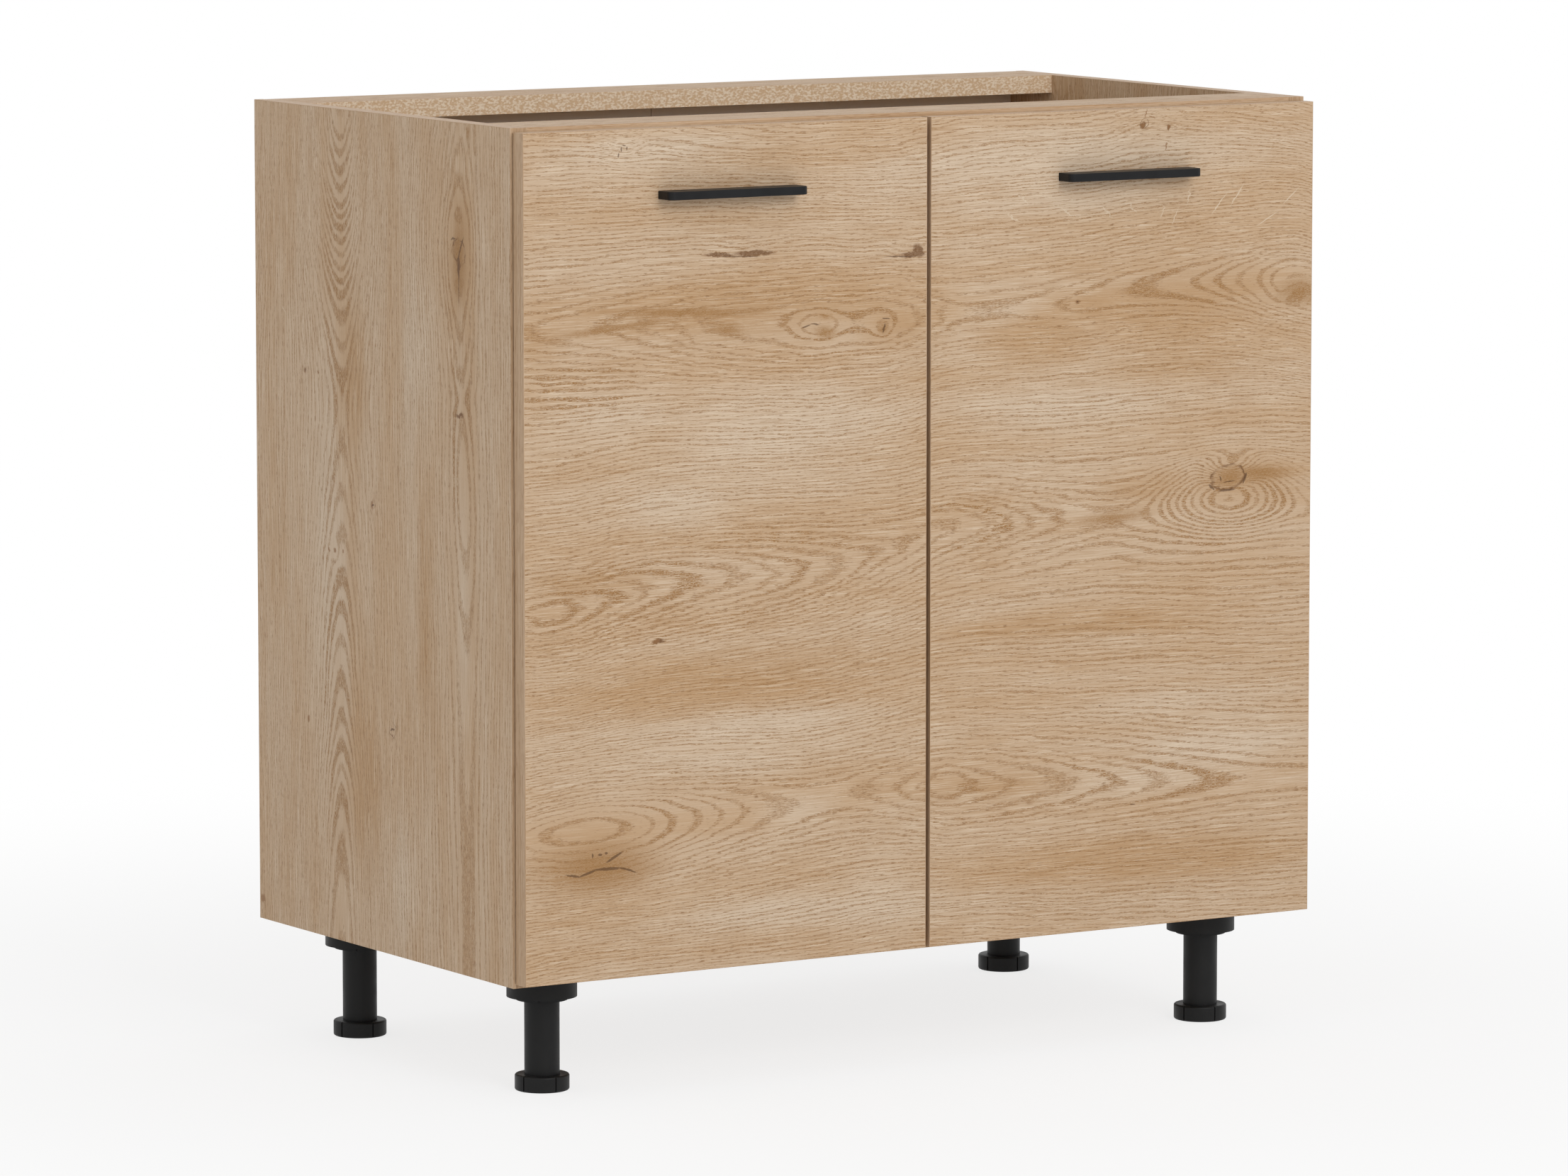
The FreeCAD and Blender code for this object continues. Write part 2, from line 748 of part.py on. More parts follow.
def wall_plate(name, level):
    wing = block(
        name + "_wing",
        (LEFT_INNER, "wallPlateThick"),
        ("%s + holeInset - wallPlateWidth / 2" % FRONT, "wallPlateWidth"),
        ("%s - wallPlateHeight / 2" % level, "wallPlateHeight"),
    )
    rib = block(
        name + "_rib",
        (LEFT_INNER, "armPivotIn + eyeRadius - armRoof - panel"),
        ("%s + ribStart" % FRONT, "ribEnd - ribStart"),
        ("%s - cupSlotHalf + linkFit / 2" % level, "2 * cupSlotHalf - linkFit"),
    )
    tools = plate_screw_shanks(name + "_screw_bore", level) + arm_screw_shanks(name + "_thread", level)
    return cut(name + "_plate", fused(name + "_solid", [wing, rib]), tools)


def bar_shape(start, end, half, low, high):
    """A bar with round ends between two places in plan."""
    across = FreeCAD.Vector(start.y - end.y, end.x - start.x, 0).normalize() * half
    corners = [start + across, end + across, end - across, start - across, start + across]
    wall = Part.Face(Part.makePolygon(corners)).extrude(FreeCAD.Vector(0, 0, high - low))
    ends = [Part.makeCylinder(half, high - low, place) for place in (start, end)]
    solid = wall.fuse(ends).removeSplitter()
    solid.translate(FreeCAD.Vector(0, 0, low))
    return solid


def link_shape(mirror):
    """The bent link from the cup's pin, over the cup's rim, to the arm's pin."""
    front = (value("handleReach") + value("door") + value("doorGap") - value("depth")) / 2
    left = -value("width") / 2
    cup = FreeCAD.Vector(left + value("cupPivotIn"), front - value("cupPivotAhead"), 0)
    knee = FreeCAD.Vector(left + value("kneeIn"), front - value("kneeAhead"), 0)
    arm = FreeCAD.Vector(left + value("armPivotIn"), front + value("armPivotBehind"), 0)
    half = value("cupSlotHalf") - value("linkFit")
    legs = [bar_shape(*ends, value("linkThick") / 2, -half, half) for ends in ((cup, knee), (knee, arm))]
    up = FreeCAD.Vector(0, 0, -half)
    hole = value("pivotRadius") + value("pivotFit")
    eyes = [Part.makeCylinder(value("eyeRadius"), 2 * half, place + up) for place in (cup, arm)]
    holes = [Part.makeCylinder(hole, 2 * half, place + up) for place in (cup, arm)]
    link = legs[0].fuse(legs[1:] + eyes).cut(holes).removeSplitter()
    return link.mirror(FreeCAD.Vector(), FreeCAD.Vector(1, 0, 0)) if mirror else link


def hinge_levels_now():
    bottom = value("legHeight") + value("bottomReveal")
    top = value("legHeight") + value("height") - value("topReveal")
    return {"lower": bottom + value("hingeInset"), "upper": top - value("hingeInset")}


def hinge_links():
    for side in ("left", "right"):
        for name, level in hinge_levels_now().items():
            link = doc.addObject("Part::Feature", "link_%s_%s" % (side, name))
            link.Shape = link_shape(side == "right")
            link.Placement = FreeCAD.Placement(FreeCAD.Vector(0, 0, level), FreeCAD.Rotation())
            keep("hinge_link_%s_%s" % (side, name), link)


def screw_heads(name, shanks, head_radius, head_height, start_of):
    """Screws whose heads lie on the face that start_of gives along the shank's own axis."""
    screws = []
    for shank, (x, y, z, along) in zip(shanks, start_of):
        head = rod(shank.Name + "_head", along, head_radius, head_height, x, y, z)
        screws.append(fused(shank.Name + "_screw", [shank, head]))
    return group(name, screws)


def hinges():
    cups = []
    arms = []
    plates = []
    cup_pins = []
    arm_pins = []
    cup_screws = []
    plate_screws = []
    arm_screws = []
    for name, level in HINGE_LEVELS.items():
        cups.append(hinge_cup("hinge_" + name, level))
        arms.append(hinge_arm("hinge_" + name, level))
        plates.append(wall_plate("hinge_%s_wall" % name, level))
        cup_pins.append(cup_pin("cup_pin_" + name, level))
        arm_pins.append(arm_pin("arm_pin_" + name, level))
        wing_face = "%s + wingThick" % DOOR_REAR
        places = [(x, wing_face, z, "Y") for x, z in cup_screw_places(level).values()]
        shanks = cup_screw_shanks("cup_screw_" + name, level)
        head = ("cupScrewHeadRadius", "cupScrewHeadHeight")
        cup_screws.append(screw_heads("cup_screws_" + name, shanks, *head, places))
        plate_face = "%s + wallPlateThick" % LEFT_INNER
        row = "%s + holeInset" % FRONT
        places = [(plate_face, row, "%s %s holeStep / 2" % (level, sign), "X") for sign in "-+"]
        shanks = plate_screw_shanks("plate_screw_" + name, level)
        head = ("plateScrewHeadRadius", "plateScrewHeadHeight")
        plate_screws.append(screw_heads("plate_screws_" + name, shanks, *head, places))
        rows = ("%s + armScrewFront" % FRONT, "%s + armScrewRear" % FRONT)
        places = [(ARM_ROOF, row, level, "X") for row in rows]
        shanks = arm_screw_shanks("arm_screw_" + name, level)
        head = ("armScrewHeadRadius", "armScrewHeadHeight")
        arm_screws.append(screw_heads("arm_screws_" + name, shanks, *head, places))
    keep_pair("hinge_cups_%s", group("cups", cups))
    keep_pair("hinge_arms_%s", group("arms", arms))
    keep_pair("hinge_plates_%s", group("plates", plates))
    keep_pair("hinge_cup_pins_%s", group("cup_pins", cup_pins))
    keep_pair("hinge_cup_screws_%s", group("cup_screws", cup_screws))
    for name, pieces in {
        "hinge_arm_pins": arm_pins,
        "hinge_plate_screws": plate_screws,
        "hinge_arm_screws": arm_screws,
    }.items():
        left = group(name + "_left", pieces)
        keep(name, group(name + "_all", [left, mirrored(name + "_right", left)]))


def leg_places():
    left = "(-width / 2 + legIn)"
    right = "(width / 2 - legIn)"
    front = "(%s + legFrontRow)" % FRONT
    rear = "(%s - legRearRow)" % REAR
    return {
        "front_left": (left, front),
        "front_right": (right, front),
        "rear_left": (left, rear),
        "rear_right": (right, rear),
    }


def pegs(name, x, y):
    """The socket's two pegs, which the bottom panel's bores fit."""
    pair = []
    for count, sign in enumerate("-+"):
        at = "%s %s pegSpread" % (y, sign)
        pair.append(rod("%s_peg_%d" % (name, count), "Z", "pegRadius", "pegLength", x, at, BASE))
    return pair


def leg_socket(corner, x, y):
    """A flanged cup with ribs round a hub that grips the leg's tube."""
    name = "socket_" + corner
    low = "(%s - socketHeight)" % BASE
    outer = rod(name + "_outer", "Z", "socketRadius", "socketHeight", x, y, low)
    well_height = "socketHeight - socketTop + over"
    well = rod(name + "_well", "Z", "socketRadius - socketWall", well_height, x, y, "%s - over" % low)
    hub_height = "socketHeight + hubDrop - socketTop / 2"
    hub = rod(name + "_hub", "Z", "hubRadius", hub_height, x, y, "%s - hubDrop" % low)
    ribs = []
    for count in range(RIBS):
        tall = ("%s + hubDrop" % low, "socketHeight - socketTop / 2 - hubDrop")
        radial = ("0", "socketRadius - socketWall / 2")
        turn = 360 * count / RIBS
        ribs.append(spoke("%s_rib_%d" % (name, count), turn, (x, y), radial, "socketRib", tall))
    solid = fused(name + "_solid", [cut(name + "_shell", outer, [well]), hub] + ribs + pegs(name, x, y))
    bore_height = "socketHeight + hubDrop - socketTop + over"
    bore = rod(name + "_bore", "Z", "tubeRadius", bore_height, x, y, "%s - hubDrop - over" % low)
    radial = ("0", "hubRadius + over")
    tip = "%s - hubDrop - over" % low
    notch = spoke(name + "_notch", 0, (x, y), radial, "hubNotch", (tip, "hubNotchDepth + over"))
    slit = spoke(name + "_slit", SLIT_TURN, (x, y), radial, "hubSlit", (tip, "hubDrop + over"))
    return cut("leg_%s_socket_cut" % corner, solid, [bore, notch, slit])


def leg_tube(corner, x, y):
    name = "tube_" + corner
    tall = "legHeight - socketTop - footHeight"
    tube = rod(name + "_bar", "Z", "tubeRadius", tall, x, y, "footHeight")
    room = "spindleLength + spindleRoom + over"
    bore = rod(name + "_bore", "Z", "spindleRadius + spindleFit", room, x, y, "footHeight - over")
    return cut(name + "_cut", tube, [bore])


def is_round_rim(edge, box):
    return is_level(edge)


def leg_foot(corner, x, y):
    """A grooved ring on a threaded spindle, screwed right up into the tube."""
    name = "foot_" + corner
    ring = rod(name + "_ring", "Z", "footRadius", "footHeight", x, y, "0")
    ring = rounded(name + "_soft", ring, value("footRound"), is_round_rim)
    grooves = []
    for count in range(GROOVES):
        turn = FRONT_TURN + 360 * count / GROOVES
        radial = ("footRadius - grooveDepth", "grooveDepth + over")
        tall = ("-over", "footHeight + 2 * over")
        grooves.append(spoke("%s_groove_%d" % (name, count), turn, (x, y), radial, "grooveWidth", tall))
    tall = "footHeight / 2 + spindleLength"
    spindle = rod(name + "_spindle", "Z", "spindleRadius", tall, x, y, "footHeight / 2")
    return fused(name + "_whole", [cut(name + "_grooved", ring, grooves), spindle])


def legs():
    for corner, (x, y) in leg_places().items():
        keep("leg_socket_" + corner, leg_socket(corner, x, y))
        keep("leg_tube_" + corner, leg_tube(corner, x, y))
        keep("leg_foot_" + corner, leg_foot(corner, x, y))


side_panels()
side_edge_bands()
bottom_panel()
rails()
back_panel()
back_nails()
shelf()
fittings()
doors()
door_edge_bands()
door_bumpers()
handles()
handle_screws()
hinges()
hinge_links()
legs()
doc.recompute()

faulty = [thing.Name for thing in doc.Objects if {"Invalid", "Error"} & set(thing.State)]
if faulty:
    raise RuntimeError("objects that failed: " + ", ".join(faulty))
for name, piece in nodes.items():
    if piece.Shape.isNull() or not piece.Shape.isValid():
        raise RuntimeError("no valid shape: " + name)

os.makedirs("parts", exist_ok=True)
for name, piece in nodes.items():
    piece.Shape.exportStep(os.path.join("parts", name + ".step"))
print(len(nodes), "pieces written")
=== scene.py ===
import bmesh
import bpy
import math
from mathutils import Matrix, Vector


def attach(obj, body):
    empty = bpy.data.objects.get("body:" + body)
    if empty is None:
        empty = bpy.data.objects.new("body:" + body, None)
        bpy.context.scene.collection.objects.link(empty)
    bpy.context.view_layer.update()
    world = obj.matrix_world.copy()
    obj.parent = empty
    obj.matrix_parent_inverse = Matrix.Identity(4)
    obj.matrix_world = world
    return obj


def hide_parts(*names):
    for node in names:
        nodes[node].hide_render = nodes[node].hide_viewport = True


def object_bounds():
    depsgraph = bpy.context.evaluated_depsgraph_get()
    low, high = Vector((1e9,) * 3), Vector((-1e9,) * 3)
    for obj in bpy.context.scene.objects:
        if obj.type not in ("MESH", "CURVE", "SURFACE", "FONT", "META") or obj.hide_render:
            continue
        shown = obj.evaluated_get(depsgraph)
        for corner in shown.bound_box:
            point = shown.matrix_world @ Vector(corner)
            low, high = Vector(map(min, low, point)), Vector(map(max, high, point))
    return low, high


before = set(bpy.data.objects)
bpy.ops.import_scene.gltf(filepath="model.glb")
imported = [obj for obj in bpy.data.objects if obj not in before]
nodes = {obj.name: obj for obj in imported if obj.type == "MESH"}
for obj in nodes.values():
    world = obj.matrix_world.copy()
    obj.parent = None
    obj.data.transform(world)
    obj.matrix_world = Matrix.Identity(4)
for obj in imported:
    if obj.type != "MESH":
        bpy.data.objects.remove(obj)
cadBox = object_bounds()
mm = 0.001
print("frame loaded:", len(nodes), "nodes")


# small helpers for building shader trees

def colour(red, green, blue):
    # a tone from 0 to 255 as the linear colour that a socket takes
    def toLinear(part):
        share = part / 255
        return share / 12.92 if share <= 0.04045 else ((share + 0.055) / 1.055) ** 2.4
    return (toLinear(red), toLinear(green), toLinear(blue), 1)


def shaded(tone, share):
    return tuple(share * part for part in tone[:3]) + (1,)


def newMaterial(name):
    material = bpy.data.materials.new(name)
    material.use_nodes = True
    tree = material.node_tree
    tree.nodes.clear()
    output = tree.nodes.new("ShaderNodeOutputMaterial")
    shader = tree.nodes.new("ShaderNodeBsdfPrincipled")
    tree.links.new(shader.outputs["BSDF"], output.inputs["Surface"])
    return material, tree, shader


def feed(tree, socket, given):
    if isinstance(given, bpy.types.NodeSocket):
        tree.links.new(given, socket)
    else:
        socket.default_value = given


def addNode(tree, kind, inputs=None, **settings):
    node = tree.nodes.new(kind)
    for name, setting in settings.items():
        setattr(node, name, setting)
    for name, given in (inputs or {}).items():
        feed(tree, node.inputs[name], given)
    return node


def calc(tree, operation, first, second=None, third=None, clamp=False):
    node = addNode(tree, "ShaderNodeMath", operation=operation, use_clamp=clamp)
    for socket, given in zip(node.inputs, (first, second, third)):
        if given is not None:
            feed(tree, socket, given)
    return node.outputs[0]


def times(tree, first, *others):
    for other in others:
        first = calc(tree, "MULTIPLY", first, other)
    return first


def wander(tree, field, reach, base=0.0):
    # moves base by up to half of reach either way, as the field says
    return calc(tree, "ADD", calc(tree, "MULTIPLY_ADD", field, reach, -0.5 * reach), base)


def remap(tree, given, fromLow, fromHigh, toLow=0, toHigh=1, kind="SMOOTHSTEP"):
    # noise lies mostly between 0.3 and 0.7, so limits in there say how much of a surface a pattern covers
    node = addNode(tree, "ShaderNodeMapRange", interpolation_type=kind)
    for socket, part in zip(node.inputs, (given, fromLow, fromHigh, toLow, toHigh)):
        feed(tree, socket, part)
    return node.outputs[0]


# numbers of the Mix node's two inputs and its output, for each kind of value
mixSockets = {"RGBA": (6, 7, 2), "FLOAT": (2, 3, 0), "VECTOR": (4, 5, 1)}


def blend(tree, kind, share, under, over):
    node = addNode(tree, "ShaderNodeMix", data_type=kind)
    first, second, result = mixSockets[kind]
    for number, given in ((0, share), (first, under), (second, over)):
        feed(tree, node.inputs[number], given)
    return node.outputs[result]


def blendColour(tree, share, under, over):
    return blend(tree, "RGBA", share, under, over)


def blendValue(tree, share, under, over):
    return blend(tree, "FLOAT", share, under, over)


def pack3(tree, x, y, z=0.0):
    node = tree.nodes.new("ShaderNodeCombineXYZ")
    for socket, given in zip(node.inputs, (x, y, z)):
        feed(tree, socket, given)
    return node.outputs[0]


def place(tree, vector, at, size, turn=0):
    # the vector as counted from a centre, in sizes along turned axes
    inputs = {"Vector": vector, "Location": at, "Scale": size, "Rotation": (0, 0, math.radians(turn))}
    return addNode(tree, "ShaderNodeMapping", inputs, vector_type="TEXTURE").outputs[0]


def noise(tree, vector, size, detail=2, rough=0.5, seed=0):
    # a size of two numbers is for a flat pattern
    flat = len(size) == 2
    moved = place(tree, vector, at=(seed * 137.0, seed * 71.0, 0), size=(*size, 1) if flat else size)
    inputs = {"Vector": moved, "Scale": 1, "Detail": detail, "Roughness": rough}
    return addNode(tree, "ShaderNodeTexNoise", inputs, noise_dimensions="2D" if flat else "3D").outputs[0]


def lengthOf(tree, vector):
    node = addNode(tree, "ShaderNodeVectorMath", operation="LENGTH")
    tree.links.new(vector, node.inputs[0])
    return node.outputs["Value"]


def curve(tree, given, points):
    node = addNode(tree, "ShaderNodeFloatCurve", {"Value": given})
    line = node.mapping.curves[0]
    line.points[0].location = points[0]
    line.points[1].location = points[-1]
    for point in points[1:-1]:
        line.points.new(*point)
    node.mapping.update()
    return node.outputs[0]


def finish(tree, shader, shade, height, look, rough=None):
    # colour, gloss and fine relief of a surface, as its look gives them
    tree.links.new(shade, shader.inputs["Base Color"])
    feed(tree, shader.inputs["Roughness"], look["rough"] if rough is None else rough)
    shader.inputs["Specular IOR Level"].default_value = look["gloss"]
    relief = {"Height": height, "Distance": look["relief"] * mm, "Strength": look["reliefStrength"]}
    tree.links.new(addNode(tree, "ShaderNodeBump", relief).outputs[0], shader.inputs["Normal"])


def objectPlace(tree):
    # the place on the object in millimetres, one value for each axis
    spot = tree.nodes.new("ShaderNodeTexCoord").outputs["Object"]
    parts = addNode(tree, "ShaderNodeSeparateXYZ", {"Vector": spot}).outputs
    return {axis: calc(tree, "DIVIDE", parts[axis], mm) for axis in "XYZ"}


def facing(tree, axis):
    # 1 on the faces that look along an axis, either way
    normal = tree.nodes.new("ShaderNodeTexCoord").outputs["Normal"]
    parts = addNode(tree, "ShaderNodeSeparateXYZ", {"Vector": normal}).outputs
    return calc(tree, "GREATER_THAN", calc(tree, "ABSOLUTE", parts[axis]), 0.7)


def cone(tree, vector, at, size, turn=0):
    # 1 in the middle of a mark, falling evenly to 0 at its reach; the gradient node works straight on the
    # mapped place, so that a material with many marks stays within the renderer's limit
    inputs = {"Vector": place(tree, vector, at=(*at, 0), size=(*size, 1), turn=turn)}
    return addNode(tree, "ShaderNodeTexGradient", inputs, gradient_type="SPHERICAL").outputs["Fac"]


def spots(tree, vector, marks, soft=1.0):
    # 1 in the middle of each mark and 0 outside it
    field = None
    for at, (long, high), turn in marks:
        mark = cone(tree, vector, at, (soft * long, soft * high), turn)
        field = mark if field is None else calc(tree, "MAXIMUM", field, mark)
    return remap(tree, field, 0, 1)


def pushes(tree, vector, field, marks):
    # adds rings to the field round each knot, so that the grain flows past it
    for at, size, rings in marks:
        field = calc(tree, "ADD", field, remap(tree, cone(tree, vector, at, size), 0, 1, 0, rings))
    return field


# oak decor: growth rings cut along the grain, with pores as short dashes

oak = {
    "pale": colour(204, 182, 157),
    "tan": colour(188, 154, 117),
    "line": colour(152, 110, 60),
    "dash": colour(134, 97, 59),
    "ray": colour(214, 195, 170),
    "gleam": colour(224, 206, 182),
    "knot": colour(138, 97, 57),
    "bark": colour(112, 76, 42),
    "crack": colour(76, 46, 20),
    "rough": 0.56,
    "gloss": 0.32,
    "relief": 0.12,  # depth of the pores in millimetres
    "reliefStrength": 0.5,
    "ringWidth": 3.25,  # millimetres between two bands where the grain runs straight
    "bandWidth": 0.42,  # part of a ring that is band
    "bandSpread": 0.25,  # part by which the width varies from band to band
    "bandEdge": 0.62,  # a band is full up to this part of its half width, and fades beyond it
    "boldBands": (0.85, 1.35),  # a band's width elsewhere and where it stands out
    "wideBands": 0.7,  # the same where the rings lie far apart
    "faintBands": 0.68,  # strength of the bands where they don't stand out
    "combReach": 24,  # millimetres that the band edges reach along the grain
    "flameReach": 24,  # millimetres that whole ring tips are drawn out
    "slowDrift": 12,  # millimetres that the grain wanders across the board on its long way
    "quickDrift": 4,  # the same for its short waves
    "uneven": 1.6,  # rings by which the spacing of the bands varies
    "core": 20,  # millimetres beside a row's middle where its ring numbers hold in full
    "calmTeeth": 0.12,  # part of the teeth that is left where the grain is calm
    "calmFibres": 0.4,  # part of the streaks that is left there
    "poreEdge": 0.74,  # noise value above which a pore shows between the bands
    "poreGain": 0.16,  # how much lower that value is on the bands
    "poreReach": 0.15,  # part of a ring beside a band that has its pores too
    "darkFibres": 0.3,
    "paleFibres": 0.42,
    "dashShare": 0.7,  # how strongly each mark covers the wood
    "rayShare": 0.75,
    "knotShare": 0.75,
    "crackShare": 0.7,
    "tanShift": 0.5,  # how far the tan and pale areas shift the ground colour
    "paleShift": 0.55,
    "tanShare": 0.15,  # and how strongly they are deepened and lit up
    "paleShare": 0.12,
}

oakSizes = {  # millimetres along and across the grain
    "flame": (40, 7),
    "comb": (15, 0.95),
    "slow": (240, 60),
    "quick": (30, 7),
    "grain": (2.2, 0.45),
    "break": (12, 1.3),
    "patch": (13, 9),
    "pore": (6, 0.42),
    "fibre": (52, 0.8),
    "cloud": (300, 34),
    "wobble": (9, 5),
    "wobbleReach": (8, 5),  # how far it moves the marks' edges
    "spacing": (3.5, 1),  # in rings
    "vigour": (1.6, 1),  # in rings, and in stretches of the length below
}
vigourLength = 300

# Each row of a figure is one cathedral. The middle row lies on the axis, the others two halfPitch off it.
# Both lists of a row give a place along the grain and a value: how far the row's middle rises off its
# axis, and the number of the ring met there. A larger blunt opens the tips of the cathedrals wider, a
# smaller quiet makes fainter lines, and a larger fibre makes clearer streaks. Marks give a centre, a reach
# along and across, and a turn in degrees. Lengths are in millimetres.
doorFigure = {
    "along": "X", "across": "Z", "start": -400, "length": 800, "axis": 439, "halfPitch": 105.5,
    "riseReach": 40, "ringReach": 14,  # largest values that the rows' lists can hold
    "blunt": 10, "quiet": 1, "fibre": 1.5, "seed": 1,
    "rows": [
        {"rise": [(-400, -2), (-340, 3), (-270, 4), (-200, 6), (-140, 8), (-30, 16), (20, 14), (190, 4),
                  (400, -6)],
         "rings": [(-400, -6.2), (-345, -7.35), (-300, -6.8), (-231, -4), (-178, -2), (-140, -1),
                   (-100, -0.6), (-66, -1), (-40, -1.9), (-5, -3), (20, -3.5), (45, -3), (95, -2), (190, 0),
                   (315, 2), (400, 2.5)]},
        {"rise": [(-400, -28), (-372, -27), (-290, -12), (-240, -6), (-120, 0), (-30, 13), (40, 28),
                  (130, 27), (400, 22)],
         "rings": [(-400, -7.8), (-372, -8.5), (-345, -7.8), (-277, -6), (-192, -4), (-118, -2), (-60, 0),
                   (-20, 1), (31, 2), (78, 4), (135, 6), (190, 6.8), (230, 6), (400, 5)]},
        {"rise": [(-400, 2), (-260, 3), (-117, -4), (-47, -6), (60, -2), (150, 2), (225, 10), (330, 12),
                  (400, 2)],
         "rings": [(-400, 3.2), (-310, 1.6), (-262, 0.4), (-230, -0.8), (-187, -1.6), (-154, -2),
                   (-115, -2.9), (-76, -2.4), (-47, -2.6), (-30, -2), (-8, -1), (12, 0), (32, 0.6),
                   (105, 0.6), (142, 0), (218, -1), (266, -2), (322, -4), (385, -7), (400, -7)]},
    ],
    # places where the rings are pushed aside: centre, reach, rings added
    "pushes": [((312, 482), (100, 52), -8.6), ((314, 500), (46, 20), 7), ((-301, 806), (34, 30), -2.2),
               ((225, 803), (44, 26), 2.2), ((152, 652), (14, 9), -0.6), ((-271, 386), (14, 7), 0.9),
               ((195, 627), (18, 9), 1.2), ((-330, 196), (66, 22), -1.5), ((386, 651), (24, 16), 2.0),
               ((-187, 712), (54, 14), 1.2), ((-20, 704), (30, 14), 1.2), ((-110, 645), (34, 17), -1.0),
               ((-46, 638), (15, 13), -1.1)],
    # where the rings run smoothly, without teeth along the grain
    "calm": [((305, 470), (150, 90), 0), ((-290, 226), (170, 62), 0), ((290, 656), (170, 42), 0),
             ((-80, 642), (110, 30), 0)],
    # where the rings lie far apart and their bands would come out too wide
    "wide": [((-80, 642), (120, 34), 0), ((250, 656), (120, 30), 0), ((-270, 232), (150, 50), 0)],
    # where the bands stand out and the wood between them is clear
    "bold": [((-230, 430), (240, 62), 6), ((60, 466), (130, 44), 0), ((310, 462), (120, 62), 0),
             ((-90, 643), (110, 40), 0), ((170, 232), (240, 40), 0), ((-225, 235), (105, 50), 0),
             ((-340, 602), (90, 34), 0), ((240, 655), (130, 34), 0)],
    # dark rims round knots, the knots, and the cracks in and beside them
    "eyes": [((310, 492), (20.5, 12.5), 8), ((221, 804), (4.5, 4.5), 0)],
    "knots": [((219, 802), (2.6, 2.8), 0), ((222, 812), (1.0, 5), -8), ((229, 809), (4, 1.0), -30),
              ((245, 799), (1.8, 3.4), -10), ((243, 783), (1.2, 4), 5), ((152, 652.5), (2.8, 2.3), 20),
              ((-271, 386), (4.4, 1.8), 0)],
    "cracks": [((-352, 193.8), (11, 1.4), -12), ((-338, 194.8), (14, 1.6), 16),
               ((-319, 197.2), (19, 2.1), -1), ((-299, 194.8), (14, 1.4), -17),
               ((-312, 206.5), (14, 1.7), 27), ((-333, 209.5), (1.2, 3), 0), ((-326, 209.5), (3, 1.8), 0),
               ((-320, 210.5), (2.4, 1.6), 0), ((-123, 644), (7, 1.0), 16), ((-114, 645.5), (7, 0.9), -3),
               ((-45, 639), (1.5, 6.5), -18), ((-43, 647), (6, 0.9), -6), ((-303.6, 800), (0.9, 3), 4),
               ((-301, 803), (2.8, 0.9), 0), ((-298.4, 800.6), (0.9, 2.6), -8),
               ((-306, 795.4), (1.1, 3), -14), ((152, 652.5), (1.6, 1.2), 20), ((293, 484), (6, 1.5), -42),
               ((309, 480.5), (14, 1.3), 3), ((328, 490), (1.6, 8), -24), ((211, 211), (5, 0.8), 0),
               ((177, 300), (2, 0.8), 0), ((-28, 699), (26, 0.8), -2), ((-190, 706), (30, 0.7), -2),
               ((302, 491), (1.2, 4), 20), ((312, 488), (10, 0.7), 4)],
    # stained wood, and bark
    "streaks": [((-325, 198), (84, 32), 0), ((-240, 661), (120, 7), -2), ((-310, 651), (90, 5), 5),
                ((-200, 645), (26, 10), -10), ((188, 463), (60, 8), 3), ((-318, 197), (76, 26), -2),
                ((386, 651), (36, 18), 0), ((-104, 638), (17, 9), -10), ((345, 494), (50, 10), -3),
                ((312, 492), (26, 15), 8), ((-104, 652), (9, 4), 0), ((-105, 638), (8, 4), 0),
                ((-46, 639), (8, 8), 0)],
    "blots": [((-174, 708), (28, 3.6), -1), ((-208, 708), (22, 2.4), -3), ((-11, 703.5), (7, 9), 25),
              ((-16, 700.5), (18, 3.4), 0), ((-268, 386), (9, 2.2), 0), ((219, 802), (4, 3.6), 0),
              ((245, 799), (2.6, 4), 0)],
    # large darker and paler areas
    "tans": [((-200, 660), (260, 50), 0), ((250, 650), (190, 50), 0), ((-180, 352), (260, 40), 3),
             ((150, 372), (220, 20), 0), ((-340, 200), (110, 46), 0), ((330, 488), (110, 36), 0),
             ((230, 160), (230, 40), 0), ((70, 236), (110, 20), 0), ((-30, 636), (70, 30), 0),
             ((-390, 640), (50, 30), 0), ((-330, 440), (110, 24), 0), ((260, 592), (130, 30), 0),
             ((110, 625), (90, 36), 0), ((225, 488), (90, 30), 0)],
    "pales": [((-160, 550), (220, 66), 0), ((-320, 578), (110, 50), 0), ((-170, 296), (190, 40), 0),
              ((140, 556), (170, 34), 0), ((130, 772), (280, 64), 0), ((-290, 792), (140, 44), 0),
              ((76, 648), (60, 14), 2), ((235, 232), (140, 24), 0), ((230, 296), (150, 22), 0),
              ((-150, 150), (200, 30), 0), ((-50, 150), (100, 56), 0), ((-130, 232), (60, 26), 0),
              ((300, 258), (150, 56), 0), ((-250, 500), (70, 30), 0)],
    # rays that lie bare as thin pale strokes
    "rays": [((96, 743), (14, 0.9), -38), ((142, 730), (24, 1.0), -28), ((182, 729), (12, 0.9), -40),
             ((209, 731), (9, 0.9), -55), ((240, 727), (9, 0.8), 75), ((253, 722), (12, 0.9), 68),
             ((267, 739), (12, 0.9), 76), ((299, 731), (19, 1.0), 48), ((318, 738), (20, 1.0), 52),
             ((86, 727), (14, 0.8), -30), ((350, 716), (18, 0.9), 28), ((375, 735), (16, 0.9), 40)],
}

